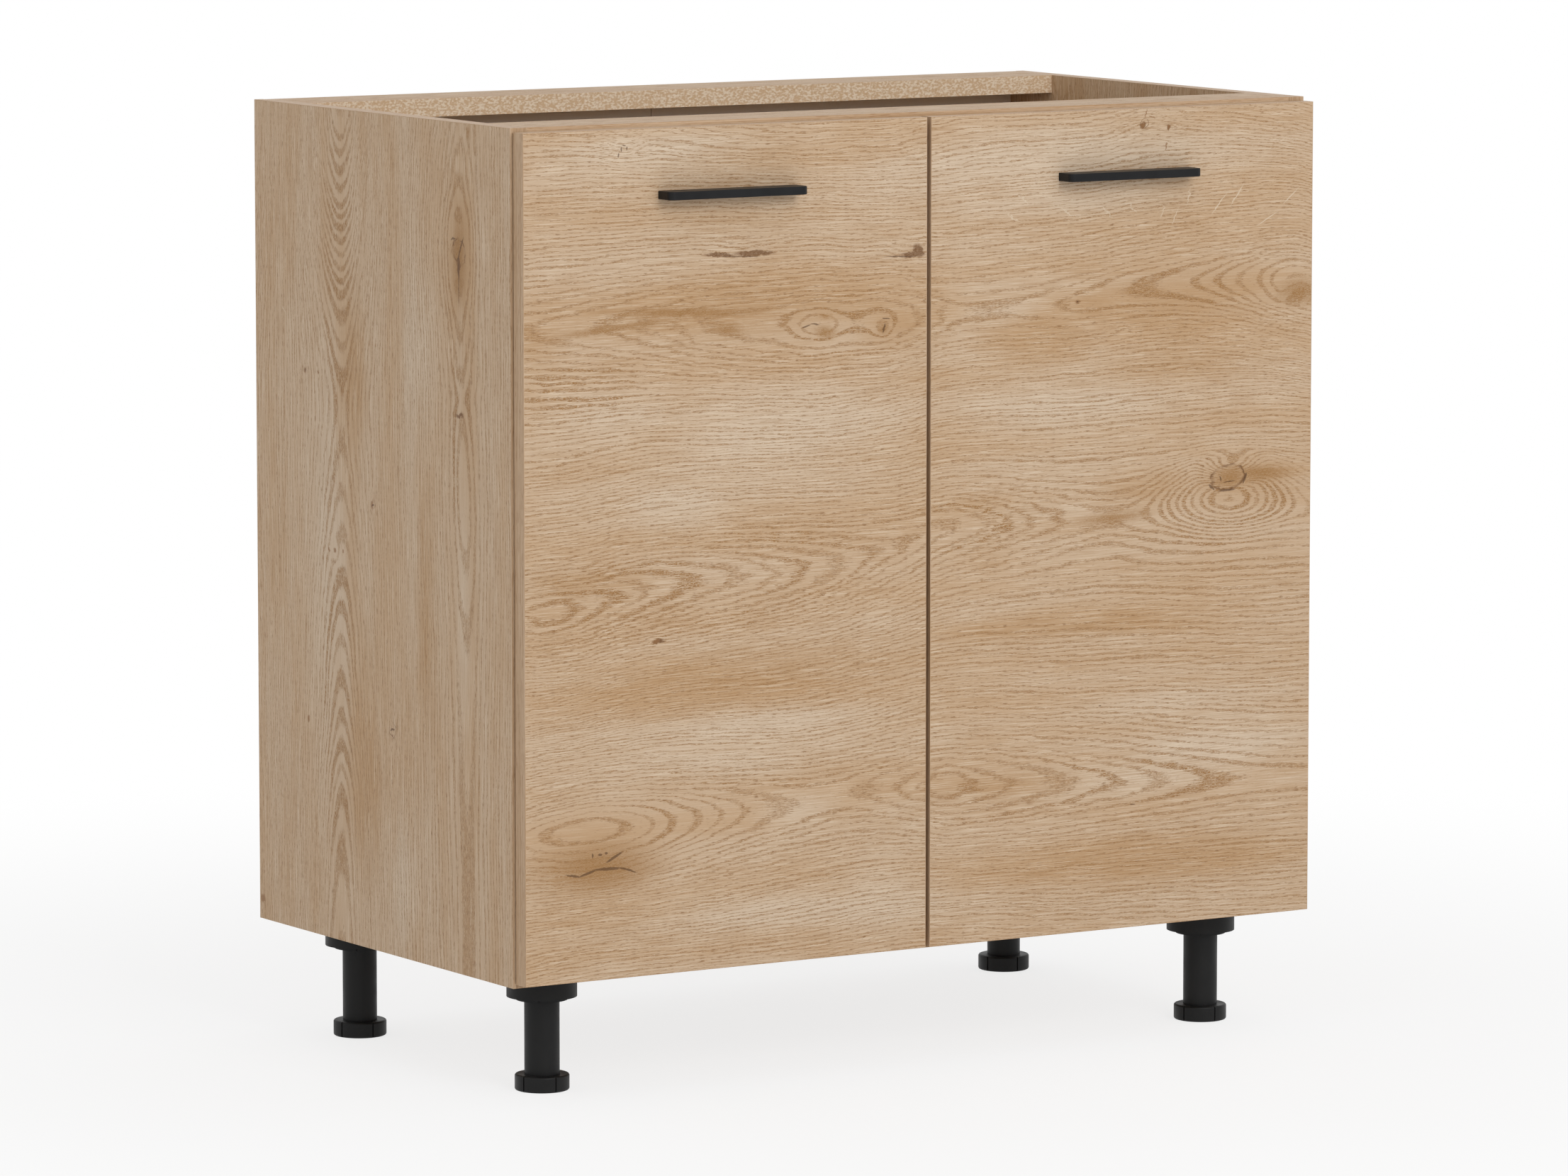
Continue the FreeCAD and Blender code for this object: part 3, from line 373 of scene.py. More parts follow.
leftSideFigure = {
    "along": "Z", "across": "Y", "start": 100, "length": 720, "axis": -126, "halfPitch": 107.5,
    "riseReach": 40, "ringReach": 14,  # largest values that the rows' lists can hold
    "blunt": 13, "quiet": 0.88, "fibre": 1.5, "seed": 4,
    "rows": [
        {"rise": [(100, 0), (820, 0)], "rings": [(100, 0), (820, 0)]},
        {"rise": [(100, -5), (365, -2), (600, 4), (712, 10), (820, 2)],
         "rings": [(100, 2.8), (250, 2.6), (365, 2), (442, 1), (510, 0.4), (575, 1), (588, 1.3), (600, 1),
                   (647, 0), (712, -1.4), (770, 0), (820, 1.5)]},
        {"rise": [(100, 4), (820, -2)],
         "rings": [(100, -7), (220, -5), (295, -2), (395, 1), (530, 5), (560, 5.5), (590, 5), (805, -9.4),
                   (820, -10)]},
    ],
    "pushes": [((712, -116), (34, 20), 1.6), ((591, 153), (22, 13), 1.2), ((484, 34), (22, 12), 1.3),
               ((295, 1), (26, 14), 1.5), ((438, 100), (14, 9), 0.9), ((590, 130), (12, 8), 0.6)],
    "calm": [((712, -116), (90, 50), 0), ((700, 90), (180, 50), 0), ((320, 92), (260, 50), 0),
             ((480, -126), (200, 40), 0)],
    "wide": [((712, -116), (50, 24), 0)],
    "bold": [((660, 92), (200, 40), 0), ((330, 96), (280, 44), 0), ((700, -116), (110, 34), 0),
             ((560, -120), (120, 30), 0)],
    "eyes": [((712, -118), (13, 11), 30), ((295, 1), (7, 7), 0)],
    "knots": [((591, 153), (4, 3), 20), ((591, 129), (2, 2), 0), ((484, 34), (5, 3), 0),
              ((438, 111), (2, 2), 0), ((439, 101), (3, 3), 0), ((439, 86), (2, 2), 0),
              ((287, 150), (4, 3), 0), ((118, 236), (5, 5), 0)],
    "cracks": [((714, -120), (17, 1.5), -28), ((722, -108), (1.4, 6), 10), ((690, -117), (34, 0.9), 0),
               ((591, 152), (3, 1.2), 30), ((484, 33), (1.2, 3.6), 20), ((295, 1), (1.6, 6), 15)],
    "streaks": [((704, -118), (56, 18), 0), ((812, -134), (12, 6), 0)],
    "blots": [((700, -117), (12, 4), 0), ((574, -118), (3, 9), 10)],
    "tans": [((708, -122), (110, 34), 0), ((240, 50), (130, 40), 0), ((600, 60), (100, 30), 0),
             ((380, -60), (180, 26), 0)],
    "pales": [((400, 124), (300, 60), 0), ((620, -56), (130, 50), 0), ((410, -122), (180, 20), 0),
              ((170, -20), (100, 40), 0)],
    "rays": [((640, 190), (12, 0.6), 50)],
}


def alongRow(tree, along, figure, points, reach):
    # a line drawn through the given points over the length of the board, for values between -reach and reach
    share = calc(tree, "DIVIDE", calc(tree, "SUBTRACT", along, figure["start"]), figure["length"])
    line = [((x - figure["start"]) / figure["length"], 0.5 + 0.5 * y / reach) for x, y in points]
    return calc(tree, "MULTIPLY_ADD", curve(tree, share, line), 2 * reach, -reach)


def growthRings(tree, along, across, figure, look):
    # ring count at each place: whole numbers are the dark bands
    seed, half = figure["seed"], figure["halfPitch"]
    flat = pack3(tree, along, across)
    flame = noise(tree, flat, oakSizes["flame"], detail=1, seed=seed)
    comb = noise(tree, flat, oakSizes["comb"], detail=1, seed=seed + 1)
    teeth = wander(tree, comb, look["combReach"], wander(tree, flame, look["flameReach"]))
    toothed = remap(tree, spots(tree, flat, figure["calm"]), 0, 0.5, 1, look["calmTeeth"])
    drawn = calc(tree, "ADD", along, times(tree, teeth, toothed))
    slow = noise(tree, flat, oakSizes["slow"], detail=1, seed=seed + 2)
    quick = noise(tree, flat, oakSizes["quick"], detail=2, seed=seed + 3)
    level = wander(tree, slow, look["slowDrift"], calc(tree, "SUBTRACT", across, figure["axis"]))
    level = wander(tree, quick, look["quickDrift"], level)

    # the three rows blend in how far they rise, and meet sharply in their ring numbers
    rises = [alongRow(tree, along, figure, row["rise"], figure["riseReach"]) for row in figure["rows"]]
    extras = [alongRow(tree, drawn, figure, row["rings"], figure["ringReach"]) for row in figure["rows"]]
    rise = blendValue(tree, remap(tree, level, -2 * half, 0, kind="LINEAR"), rises[0], rises[1])
    rise = blendValue(tree, remap(tree, level, 0, 2 * half, kind="LINEAR"), rise, rises[2])
    level = calc(tree, "SUBTRACT", level, rise)
    extra = blendValue(tree, calc(tree, "GREATER_THAN", level, -half), extras[0], extras[1])
    extra = blendValue(tree, calc(tree, "GREATER_THAN", level, half), extra, extras[2])

    out = calc(tree, "PINGPONG", level, half)
    near = remap(tree, out, look["core"], half, 1, 0, kind="LINEAR")
    rings = lengthOf(tree, pack3(tree, calc(tree, "DIVIDE", out, look["ringWidth"]), figure["blunt"]))
    rings = calc(tree, "MULTIPLY_ADD", extra, near, calc(tree, "SUBTRACT", rings, figure["blunt"]))
    spacing = noise(tree, pack3(tree, rings, 0.0), oakSizes["spacing"], detail=1, seed=seed + 4)
    rings = wander(tree, spacing, look["uneven"], rings)
    return pushes(tree, pack3(tree, drawn, across), rings, figure["pushes"])


def oakGrain(tree, places, figure, look):
    # colour and pore height of the decor from the board's own place in millimetres
    along, across = places[figure["along"]], places[figure["across"]]
    flat = pack3(tree, along, across)
    seed = figure["seed"] + 10
    areas = {name: spots(tree, flat, figure[name]) for name in ("bold", "calm", "wide", "tans", "pales")}
    bold, calm, wide = (remap(tree, areas[name], 0, 0.6) for name in ("bold", "calm", "wide"))
    tans, pales = areas["tans"], areas["pales"]

    # bands: off is 0 in the middle of a band and 1 halfway to the next
    rings = growthRings(tree, along, across, figure, look)
    off = calc(tree, "MULTIPLY", calc(tree, "PINGPONG", rings, 0.5), 2)
    stretch = pack3(tree, rings, calc(tree, "DIVIDE", along, vigourLength))
    vigour = noise(tree, stretch, oakSizes["vigour"], detail=0, seed=seed)
    least, most = ((1 + sign * look["bandSpread"]) * look["bandWidth"] for sign in (-1, 1))
    width = remap(tree, vigour, 0.3, 0.7, least, most)
    width = times(tree, width, blendValue(tree, bold, *look["boldBands"]))
    width = times(tree, width, blendValue(tree, wide, 1.0, look["wideBands"]))
    band = remap(tree, off, width, times(tree, width, look["bandEdge"]))

    grains = noise(tree, flat, oakSizes["grain"], detail=1, rough=0.75, seed=seed + 1)
    breaks = noise(tree, flat, oakSizes["break"], detail=1, seed=seed + 2)
    pores = noise(tree, flat, oakSizes["pore"], detail=1, seed=seed + 3)
    fibres = noise(tree, flat, oakSizes["fibre"], detail=3, rough=0.75, seed=seed + 4)
    clouds = noise(tree, flat, oakSizes["cloud"], detail=2, seed=seed + 5)

    # ground colour: tan and pale areas with fine streaks along the grain
    tanShare = calc(tree, "MULTIPLY_ADD", tans, look["tanShift"], remap(tree, clouds, 0.3, 0.7, 0.35, 0.75))
    tanShare = calc(tree, "MULTIPLY_ADD", pales, -look["paleShift"], tanShare, clamp=True)
    wood = blendColour(tree, tanShare, look["pale"], look["tan"])
    wood = blendColour(tree, times(tree, tans, look["tanShare"]), wood, look["line"])
    wood = blendColour(tree, times(tree, pales, look["paleShare"]), wood, look["gleam"])
    lively = blendValue(tree, calm, 1.0, look["calmFibres"])
    for low, high, share, tone in ((0.46, 0.74, "darkFibres", "line"), (0.5, 0.26, "paleFibres", "gleam")):
        streaks = remap(tree, fibres, low, high, 0, look[share] * figure["fibre"])
        wood = blendColour(tree, times(tree, streaks, lively), wood, look[tone])

    # bands and pores, the pores thicker on and beside the bands
    grainy = times(tree, remap(tree, grains, 0.38, 0.54, 0.12, 1), remap(tree, breaks, 0.32, 0.56, 0.3, 1))
    strength = remap(tree, vigour, 0.3, 0.6, 0.6, 1)
    for faint in (look["faintBands"], figure["quiet"]):
        strength = times(tree, strength, blendValue(tree, bold, faint, 1.0))
    wood = blendColour(tree, times(tree, band, grainy, strength), wood, look["line"])
    nearBand = remap(tree, off, calc(tree, "ADD", width, look["poreReach"]), width)
    dashEdge = calc(tree, "MULTIPLY_ADD", nearBand, -look["poreGain"], look["poreEdge"])
    dashes = remap(tree, pores, dashEdge, calc(tree, "ADD", dashEdge, 0.06))
    wood = blendColour(tree, times(tree, dashes, look["dashShare"]), wood, look["dash"])

    # marks at their own places, with uneven edges
    patches = noise(tree, flat, oakSizes["patch"], detail=1, seed=seed + 7)
    wobble = noise(tree, flat, oakSizes["wobble"], detail=3, rough=0.65, seed=seed + 6)
    reachAlong, reachAcross = oakSizes["wobbleReach"]
    wavy = pack3(tree, wander(tree, wobble, reachAlong, along), wander(tree, wobble, reachAcross, across))
    ray = remap(tree, spots(tree, wavy, figure["rays"]), 0, 0.8)
    wood = blendColour(tree, times(tree, ray, look["rayShare"]), wood, look["ray"])
    streak = times(tree, spots(tree, wavy, figure["streaks"]), remap(tree, grains, 0.3, 0.7, 0.5, 1))
    wood = blendColour(tree, streak, wood, look["line"])
    blot = remap(tree, spots(tree, wavy, figure["blots"]), 0, 0.5)
    wood = blendColour(tree, times(tree, blot, remap(tree, grains, 0.3, 0.7, 0.7, 1)), wood, look["bark"])
    eye = spots(tree, wavy, figure["eyes"])
    rim = times(tree, remap(tree, eye, 0, 0.04), remap(tree, eye, 0.18, 0.06))
    wood = blendColour(tree, times(tree, rim, remap(tree, patches, 0.35, 0.6, 0.2, 0.9)), wood, look["bark"])
    knot = remap(tree, spots(tree, wavy, figure["knots"], soft=1.2), 0.05, 0.6)
    wood = blendColour(tree, times(tree, knot, look["knotShare"]), wood, look["knot"])
    slightlyWavy = blend(tree, "VECTOR", 0.35, flat, wavy)
    crack = remap(tree, spots(tree, slightlyWavy, figure["cracks"]), 0.05, 0.5)
    wood = blendColour(tree, times(tree, crack, look["crackShare"]), wood, look["crack"])

    hollow = remap(tree, pores, 0.6, 0.7)
    return wood, calc(tree, "MULTIPLY_ADD", hollow, -0.3, calc(tree, "MULTIPLY", fibres, 0.5))


particleBoard = {
    "base": colour(215, 184, 148),
    "fleck": colour(237, 219, 195),
    "brown": colour(184, 147, 108),
    "fleckSize": (2.8, 2.8, 1.8),  # millimetres
    "brownSize": (3.0, 3.0, 2.0),
    "dustSize": (0.8, 0.8, 0.8),
}


def boardChips(tree, places):
    # bare particle board: cream and brown flakes of a few millimetres
    spot = pack3(tree, *places.values())
    flecks = noise(tree, spot, particleBoard["fleckSize"], detail=3, rough=0.55, seed=31)
    browns = noise(tree, spot, particleBoard["brownSize"], detail=2, rough=0.6, seed=32)
    dust = noise(tree, spot, particleBoard["dustSize"], detail=2, rough=0.6, seed=33)
    base, fleck, brown = (particleBoard[name] for name in ("base", "fleck", "brown"))
    wood = blendColour(tree, remap(tree, dust, 0.3, 0.75, 0, 0.3), base, brown)
    wood = blendColour(tree, remap(tree, browns, 0.56, 0.76, 0, 0.5), wood, brown)
    wood = blendColour(tree, remap(tree, flecks, 0.42, 0.62, 0, 0.95), wood, fleck)
    return wood, calc(tree, "MULTIPLY_ADD", dust, 0.6, calc(tree, "MULTIPLY", flecks, 0.5))


def oakBoard(name, figure, look, skinAxis=None):
    # a laminated board; where skinAxis is given, its other faces are bare particle board
    material, tree, shader = newMaterial(name)
    places = objectPlace(tree)
    wood, height = oakGrain(tree, places, figure, look)
    if skinAxis:
        skin = facing(tree, skinAxis)
        chips, rough = boardChips(tree, places)
        wood = blendColour(tree, skin, chips, wood)
        height = blendValue(tree, skin, rough, height)
    finish(tree, shader, wood, height, look)
    return material


def dress(material, *names):
    for name in names:
        mesh = nodes[name].data
        mesh.materials.clear()
        mesh.materials.append(material)


def plainFigure(along, across, start, length, axis, seed):
    # a quieter cut with a single small knot, for boards that the front doesn't show
    knot = (start + 0.37 * length, axis + 20)
    row = {"rise": [(start, -4), (start + 0.5 * length, 6), (start + length, -2)],
           "rings": [(start, -3), (start + 0.3 * length, 2), (start + 0.6 * length, -2), (start + length, 3)]}
    atKnot = {"calm": (40, 24, 0), "wide": (20, 12, 0), "bold": (80, 30, 0), "eyes": (5, 4, 10),
              "knots": (3, 2, 10), "cracks": (3, 1, 30), "streaks": (20, 9, 0), "blots": (4, 3, 0)}
    return {
        "along": along, "across": across, "start": start, "length": length, "axis": axis, "halfPitch": 95,
        "riseReach": 40, "ringReach": 14, "blunt": 10, "quiet": 0.9, "fibre": 1.2, "seed": seed,
        "rows": [row, row, row],
        "pushes": [(knot, (18, 12), 1.2)],
        **{name: [(knot, (long, high), turn)] for name, (long, high, turn) in atKnot.items()},
        "tans": [((start + 0.6 * length, axis - 30), (0.4 * length, 30), 0)],
        "pales": [((start + 0.3 * length, axis + 40), (0.4 * length, 30), 0)],
        "rays": [((start + 0.8 * length, axis - 10), (10, 0.6), 40)],
    }


doorOak = oakBoard("doorOak", doorFigure, oak)
dress(doorOak, "door_left", "door_right")
sideOakLeft = oakBoard("sideOakLeft", leftSideFigure, oak, skinAxis="X")
dress(sideOakLeft, "side_panel_left")
rightSideFigure = {**leftSideFigure, "seed": 11, "axis": -60}
# painted shade: the right side takes a darker, warmer copy of the oak colours, for its inner face that lies
# in shade inside the cabinet
shadedRightSideLook = {**oak, "pale": colour(199, 173, 143), "tan": colour(182, 145, 105)}
shadedSideOakRight = oakBoard("shadedSideOakRight", rightSideFigure, shadedRightSideLook, skinAxis="X")
dress(shadedSideOakRight, "side_panel_right")
boardFigure = plainFigure("X", "Y", start=-384, length=768, axis=20, seed=21)
boardLook = {**oak, "pale": colour(199, 175, 147), "tan": colour(183, 149, 112)}
boardOak = oakBoard("boardOak", boardFigure, boardLook, skinAxis="Z")
dress(boardOak, "bottom_panel", "shelf", "front_rail", "rear_rail")
print("oak boards dressed")


bandLook = {
    "pale": colour(199, 171, 141),
    "tan": colour(176, 143, 108),
    "dash": colour(140, 102, 64),
    "dashShare": 0.55,
    "lineLength": 240,  # millimetres
    "lineWidth": 1.1,
    "dashLength": 11,
    "rough": 0.5,
    "gloss": 0.35,
    "relief": 0.06,  # millimetres
    "reliefStrength": 0.4,
}

# painted light: the band in front of the top rail takes a lighter copy of the band colours, as light as the
# doors below it, since it faces the light as they do
litRailLook = {
    **bandLook,
    "pale": colour(212, 186, 156),
    "tan": colour(188, 152, 114),
    "dash": colour(150, 106, 62),
    "lineWidth": 0.8,
}


def bandOak(name, look, along, across, topAlong=None, topAcross=None):
    # thin edge band with straight fine lines along it; its lines on level faces can run another way
    material, tree, shader = newMaterial(name)
    places = objectPlace(tree)
    spot = pack3(tree, places[along], places[across[0]], places[across[1]])
    if topAlong:
        over = pack3(tree, places[topAlong], places[topAcross])
        spot = blend(tree, "VECTOR", facing(tree, "Z"), spot, over)
    width, half = look["lineWidth"], 0.5 * look["lineWidth"]
    lines = noise(tree, spot, (look["lineLength"], width, width), detail=3, rough=0.7, seed=41)
    dashes = noise(tree, spot, (look["dashLength"], half, half), detail=1, seed=42)
    wood = blendColour(tree, remap(tree, lines, 0.36, 0.64), look["pale"], look["tan"])
    wood = blendColour(tree, remap(tree, dashes, 0.56, 0.68, 0, look["dashShare"]), wood, look["dash"])
    finish(tree, shader, wood, lines, look)
    return material


dress(bandOak("bandDoor", bandLook, "Z", "XY", "X", "Y"), "door_edge_bands_left", "door_edge_bands_right")
dress(bandOak("bandSide", bandLook, "Z", "XY", "Y", "X"), "side_edge_band_left", "side_edge_band_right")
dress(bandOak("bandLevel", bandLook, "X", "YZ"), "bottom_edge_band", "shelf_edge_band")
# the front rail's band takes the lighter copy of the band colours: painted light
dress(bandOak("bandRailLit", litRailLook, "X", "YZ"), "front_rail_edge_band")


# legs and handles: black plastic with a fine moulded grain, in millimetres

legLook = {
    "tone": colour(21, 21, 21),
    "lighter": 1.35,  # tone of the light clouds as a multiple of the tone
    "grainSize": 0.55,
    "cloudSize": 18,
    "rough": 0.48,
    "gloss": 0.2,
    "relief": 0.05,
    "reliefStrength": 0.6,
}
handleLook = {
    **legLook,
    "tone": colour(22, 22, 23),
    "grainSize": 0.35,
    "rough": 0.42,
    "gloss": 0.18,
    "relief": 0.02,
}


def mouldedBlack(name, look):
    material, tree, shader = newMaterial(name)
    spot = pack3(tree, *objectPlace(tree).values())
    grain = noise(tree, spot, (look["grainSize"],) * 3, detail=3, rough=0.6, seed=51)
    cloud = noise(tree, spot, (look["cloudSize"],) * 3, detail=2, seed=52)
    light = shaded(look["tone"], look["lighter"])
    shade = blendColour(tree, remap(tree, cloud, 0.35, 0.65), look["tone"], light)
    rough = remap(tree, cloud, 0.3, 0.7, look["rough"] - 0.05, look["rough"] + 0.06)
    finish(tree, shader, shade, grain, look, rough)
    return material


legBlack = mouldedBlack("legBlack", legLook)
handleBlack = mouldedBlack("handleBlack", handleLook)
corners = ("front_left", "front_right", "rear_left", "rear_right")
for part in ("leg_socket_", "leg_tube_", "leg_foot_"):
    dress(legBlack, *[part + corner for corner in corners])
dress(handleBlack, "handle_left", "handle_right")


# hinges, screws, nails and cam fittings: plated metal, sizes in millimetres

zincLook = {
    "tone": colour(204, 207, 210),
    "darker": 0.86,  # tone of the dark clouds as a part of the tone
    "brushSize": (14, 0.5, 0.5),
    "cloudSize": (9, 9, 9),
    "rough": 0.38,
    "gloss": 0.5,
    "relief": 0.01,
    "reliefStrength": 0.5,
}
nickelLook = {**zincLook, "tone": colour(200, 199, 196), "rough": 0.4}


def plated(name, look):
    material, tree, shader = newMaterial(name)
    shader.inputs["Metallic"].default_value = 1
    spot = pack3(tree, *objectPlace(tree).values())
    brushed = noise(tree, spot, look["brushSize"], detail=2, seed=61)
    cloud = noise(tree, spot, look["cloudSize"], detail=2, seed=62)
    dark = shaded(look["tone"], look["darker"])
    shade = blendColour(tree, remap(tree, cloud, 0.3, 0.7), look["tone"], dark)
    rough = remap(tree, brushed, 0.3, 0.7, look["rough"] - 0.06, look["rough"] + 0.08)
    finish(tree, shader, shade, brushed, look, rough)
    return material


zinc = plated("zincPlate", zincLook)
nickel = plated("nickelPlate", nickelLook)
for name in nodes:
    if name.startswith(("hinge_arms", "hinge_plates", "hinge_cups", "hinge_link")):
        dress(nickel, name)
    elif "screws" in name or "pins" in name or name in ("cam_bolts", "cam_locks", "back_nails"):
        dress(zinc, name)


# screws and nails: one tree makes a domed head, cut by a cross where asked, on its shank

nail = {"headRadius": 2, "headHeight": 0.4, "shankRadius": 0.8, "dome": 0.35, "cross": False}  # millimetres
handleScrew = {"headRadius": 4, "headHeight": 2.3, "shankRadius": 2, "dome": 0.45, "cross": True}
cupScrew = {"headRadius": 3.2, "headHeight": 0.8, "shankRadius": 1.75, "dome": 0.3, "cross": True}
plateScrew = {"headRadius": 4, "headHeight": 2, "shankRadius": 2.5, "dome": 0.4, "cross": True}
armScrew = {"headRadius": 3.4, "headHeight": 1.5, "shankRadius": 2, "dome": 0.35, "cross": True}
fasteners = {
    "nailsBack": {"node": "back_nails", "body": "carcass", **nail},
    "screwsHandleLeft": {"node": "handle_screws_left", "body": "door_left", **handleScrew},
    "screwsHandleRight": {"node": "handle_screws_right", "body": "door_right", **handleScrew},
    "screwsCupLeft": {"node": "hinge_cup_screws_left", "body": "door_left", **cupScrew},
    "screwsCupRight": {"node": "hinge_cup_screws_right", "body": "door_right", **cupScrew},
    "screwsPlate": {"node": "hinge_plate_screws", "body": "carcass", **plateScrew},
    "screwsArm": {"node": "hinge_arm_screws", "body": "carcass", **armScrew},
}
# the cross in parts of the head's radius, radius and height
crossCut = {"Cross Reach": 0.62, "Cross Width": 0.2, "Cross Depth": 0.7}
fastenerMesh = {
    "headSides": 32,
    "headRings": 5,
    "shankSides": 20,
    "seed": 7,  # turns each cross another way
}


def fastenerTree():
    tree = bpy.data.node_groups.new("fastener", "GeometryNodeTree")
    tree.interface.new_socket("Places", in_out="INPUT", socket_type="NodeSocketGeometry")
    for name in ("Head Radius", "Head Height", "Shank Radius", "Shank Length", "Dome", *crossCut):
        tree.interface.new_socket(name, in_out="INPUT", socket_type="NodeSocketFloat")
    tree.interface.new_socket("Cross", in_out="INPUT", socket_type="NodeSocketBool")
    tree.interface.new_socket("Seed", in_out="INPUT", socket_type="NodeSocketInt")
    tree.interface.new_socket("Finish", in_out="INPUT", socket_type="NodeSocketMaterial")
    tree.interface.new_socket("Fasteners", in_out="OUTPUT", socket_type="NodeSocketGeometry")
    given = tree.nodes.new("NodeGroupInput").outputs

    def lifted(geometry, rise):
        lift = {"Geometry": geometry, "Translation": pack3(tree, 0.0, 0.0, rise)}
        return addNode(tree, "GeometryNodeTransform", lift).outputs[0]

    def cylinder(radius, depth, rings, sides):
        sizes = {"Vertices": sides, "Fill Segments": rings, "Radius": radius, "Depth": depth}
        return addNode(tree, "GeometryNodeMeshCylinder", sizes).outputs["Mesh"]

    radius, height = given["Head Radius"], given["Head Height"]
    middle = calc(tree, "MULTIPLY", height, 0.5)
    head = lifted(cylinder(radius, height, fastenerMesh["headRings"], fastenerMesh["headSides"]), middle)
    spot = addNode(tree, "GeometryNodeInputPosition").outputs[0]
    parts = addNode(tree, "ShaderNodeSeparateXYZ", {"Vector": spot}).outputs
    out = calc(tree, "DIVIDE", lengthOf(tree, pack3(tree, parts["X"], parts["Y"])), radius)
    drop = times(tree, calc(tree, "POWER", out, 2), times(tree, given["Dome"], height))
    dome = {"Geometry": head, "Selection": calc(tree, "GREATER_THAN", parts["Z"], middle),
            "Offset": pack3(tree, 0.0, 0.0, calc(tree, "MULTIPLY", drop, -1))}
    head = addNode(tree, "GeometryNodeSetPosition", dome).outputs[0]

    reach = times(tree, radius, given["Cross Reach"], 2)
    width = times(tree, radius, given["Cross Width"])
    depth = times(tree, height, given["Cross Depth"], 2)
    cut = addNode(tree, "GeometryNodeMeshBoolean", {"Mesh 1": head}, operation="DIFFERENCE")
    for size in ((reach, width, depth), (width, reach, depth)):
        bar = addNode(tree, "GeometryNodeMeshCube", {"Size": pack3(tree, *size)}).outputs["Mesh"]
        tree.links.new(lifted(bar, height), cut.inputs["Mesh 2"])
    heads = {"Switch": given["Cross"], "False": head, "True": cut.outputs["Mesh"]}
    head = addNode(tree, "GeometryNodeSwitch", heads, input_type="GEOMETRY").outputs[0]

    length = given["Shank Length"]
    shank = cylinder(given["Shank Radius"], length, 1, fastenerMesh["shankSides"])
    joined = addNode(tree, "GeometryNodeJoinGeometry")
    for part in (head, lifted(shank, calc(tree, "MULTIPLY", length, -0.5))):
        tree.links.new(part, joined.inputs[0])

    way = addNode(tree, "GeometryNodeInputNamedAttribute", {"Name": "way"}, data_type="FLOAT_VECTOR")
    turned = addNode(tree, "FunctionNodeAlignRotationToVector", {"Vector": way.outputs[0]}, axis="Z")
    planting = {"Points": given["Places"], "Instance": joined.outputs[0], "Rotation": turned.outputs[0]}
    placed = addNode(tree, "GeometryNodeInstanceOnPoints", planting).outputs[0]
    angle = addNode(tree, "FunctionNodeRandomValue", {"Seed": given["Seed"]}, data_type="FLOAT")
    angle.inputs[3].default_value = math.radians(90)  # the float's highest value
    spin = {"Instances": placed, "Rotation": pack3(tree, 0.0, 0.0, angle.outputs[1])}
    spun = addNode(tree, "GeometryNodeRotateInstances", spin).outputs[0]
    real = addNode(tree, "GeometryNodeRealizeInstances", {"Geometry": spun}).outputs[0]
    coat = {"Geometry": real, "Material": given["Finish"]}
    coated = addNode(tree, "GeometryNodeSetMaterial", coat).outputs[0]
    tree.links.new(coated, tree.nodes.new("NodeGroupOutput").inputs[0])
    return tree


def partBoxes(node):
    # lowest and highest corner of each loose part of a CAD node
    work = bmesh.new()
    work.from_mesh(node.data)
    bmesh.ops.remove_doubles(work, verts=work.verts, dist=0.001 * mm)
    waiting, boxes = set(work.verts), []
    while waiting:
        front = [waiting.pop()]
        island = []
        while front:
            corner = front.pop()
            island.append(corner.co.copy())
            for edge in corner.link_edges:
                other = edge.other_vert(corner)
                if other in waiting:
                    waiting.discard(other)
                    front.append(other)
        low = Vector([min(spot[axis] for spot in island) for axis in range(3)])
        high = Vector([max(spot[axis] for spot in island) for axis in range(3)])
        boxes.append((low, high))
    work.free()
    return sorted(boxes, key=lambda box: tuple(box[0]))


def setFasteners(name, row, tree):
    boxes = partBoxes(nodes[row["node"]])
    low, high = boxes[0]
    alongX = high.x - low.x > high.y - low.y
    height = row["headHeight"] * mm
    places, ways = [], []
    for low, high in boxes:
        middle = (low + high) / 2
        if alongX:  # heads look towards the middle of the cabinet
            inward = -1 if middle.x > 0 else 1
            places.append(((high.x if inward > 0 else low.x) - inward * height, middle.y, middle.z))
            ways.append((inward, 0, 0))
        else:
            places.append((middle.x, high.y - height, middle.z))
            ways.append((0, 1, 0))
    shankLength = (high.x - low.x if alongX else high.y - low.y) - height
    mesh = bpy.data.meshes.new(name)
    mesh.from_pydata(places, [], [])
    way = mesh.attributes.new("way", "FLOAT_VECTOR", "POINT")
    for item, direction in zip(way.data, ways):
        item.vector = direction
    piece = bpy.data.objects.new(name, mesh)
    bpy.context.scene.collection.objects.link(piece)
    modifier = piece.modifiers.new("fasteners", "NODES")
    modifier.node_group = tree
    settings = {"Head Radius": row["headRadius"] * mm, "Head Height": height, "Dome": row["dome"],
                "Shank Radius": row["shankRadius"] * mm, "Shank Length": shankLength, **crossCut,
                "Cross": row["cross"], "Seed": fastenerMesh["seed"], "Finish": zinc}
    for item in tree.interface.items_tree:
        if item.item_type == "SOCKET" and item.name in settings:
            modifier[item.identifier] = settings[item.name]
    made = piece.evaluated_get(bpy.context.evaluated_depsgraph_get())
    solid = bpy.data.meshes.new_from_object(made)
    solid.materials.clear()  # drops the empty slot that comes with a mesh made in nodes
    solid.materials.append(zinc)
    solid.polygons.foreach_set("material_index", [0] * len(solid.polygons))
    piece.modifiers.clear()
    piece.data = solid
    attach(piece, row["body"])
    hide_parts(row["node"])


oneFastener = fastenerTree()
for name, row in fasteners.items():
    setFasteners(name, row, oneFastener)
print("screws and nails set:", len(fasteners), "groups")


# back: thin hardboard, white on its inner face and brown on its pressed outer face

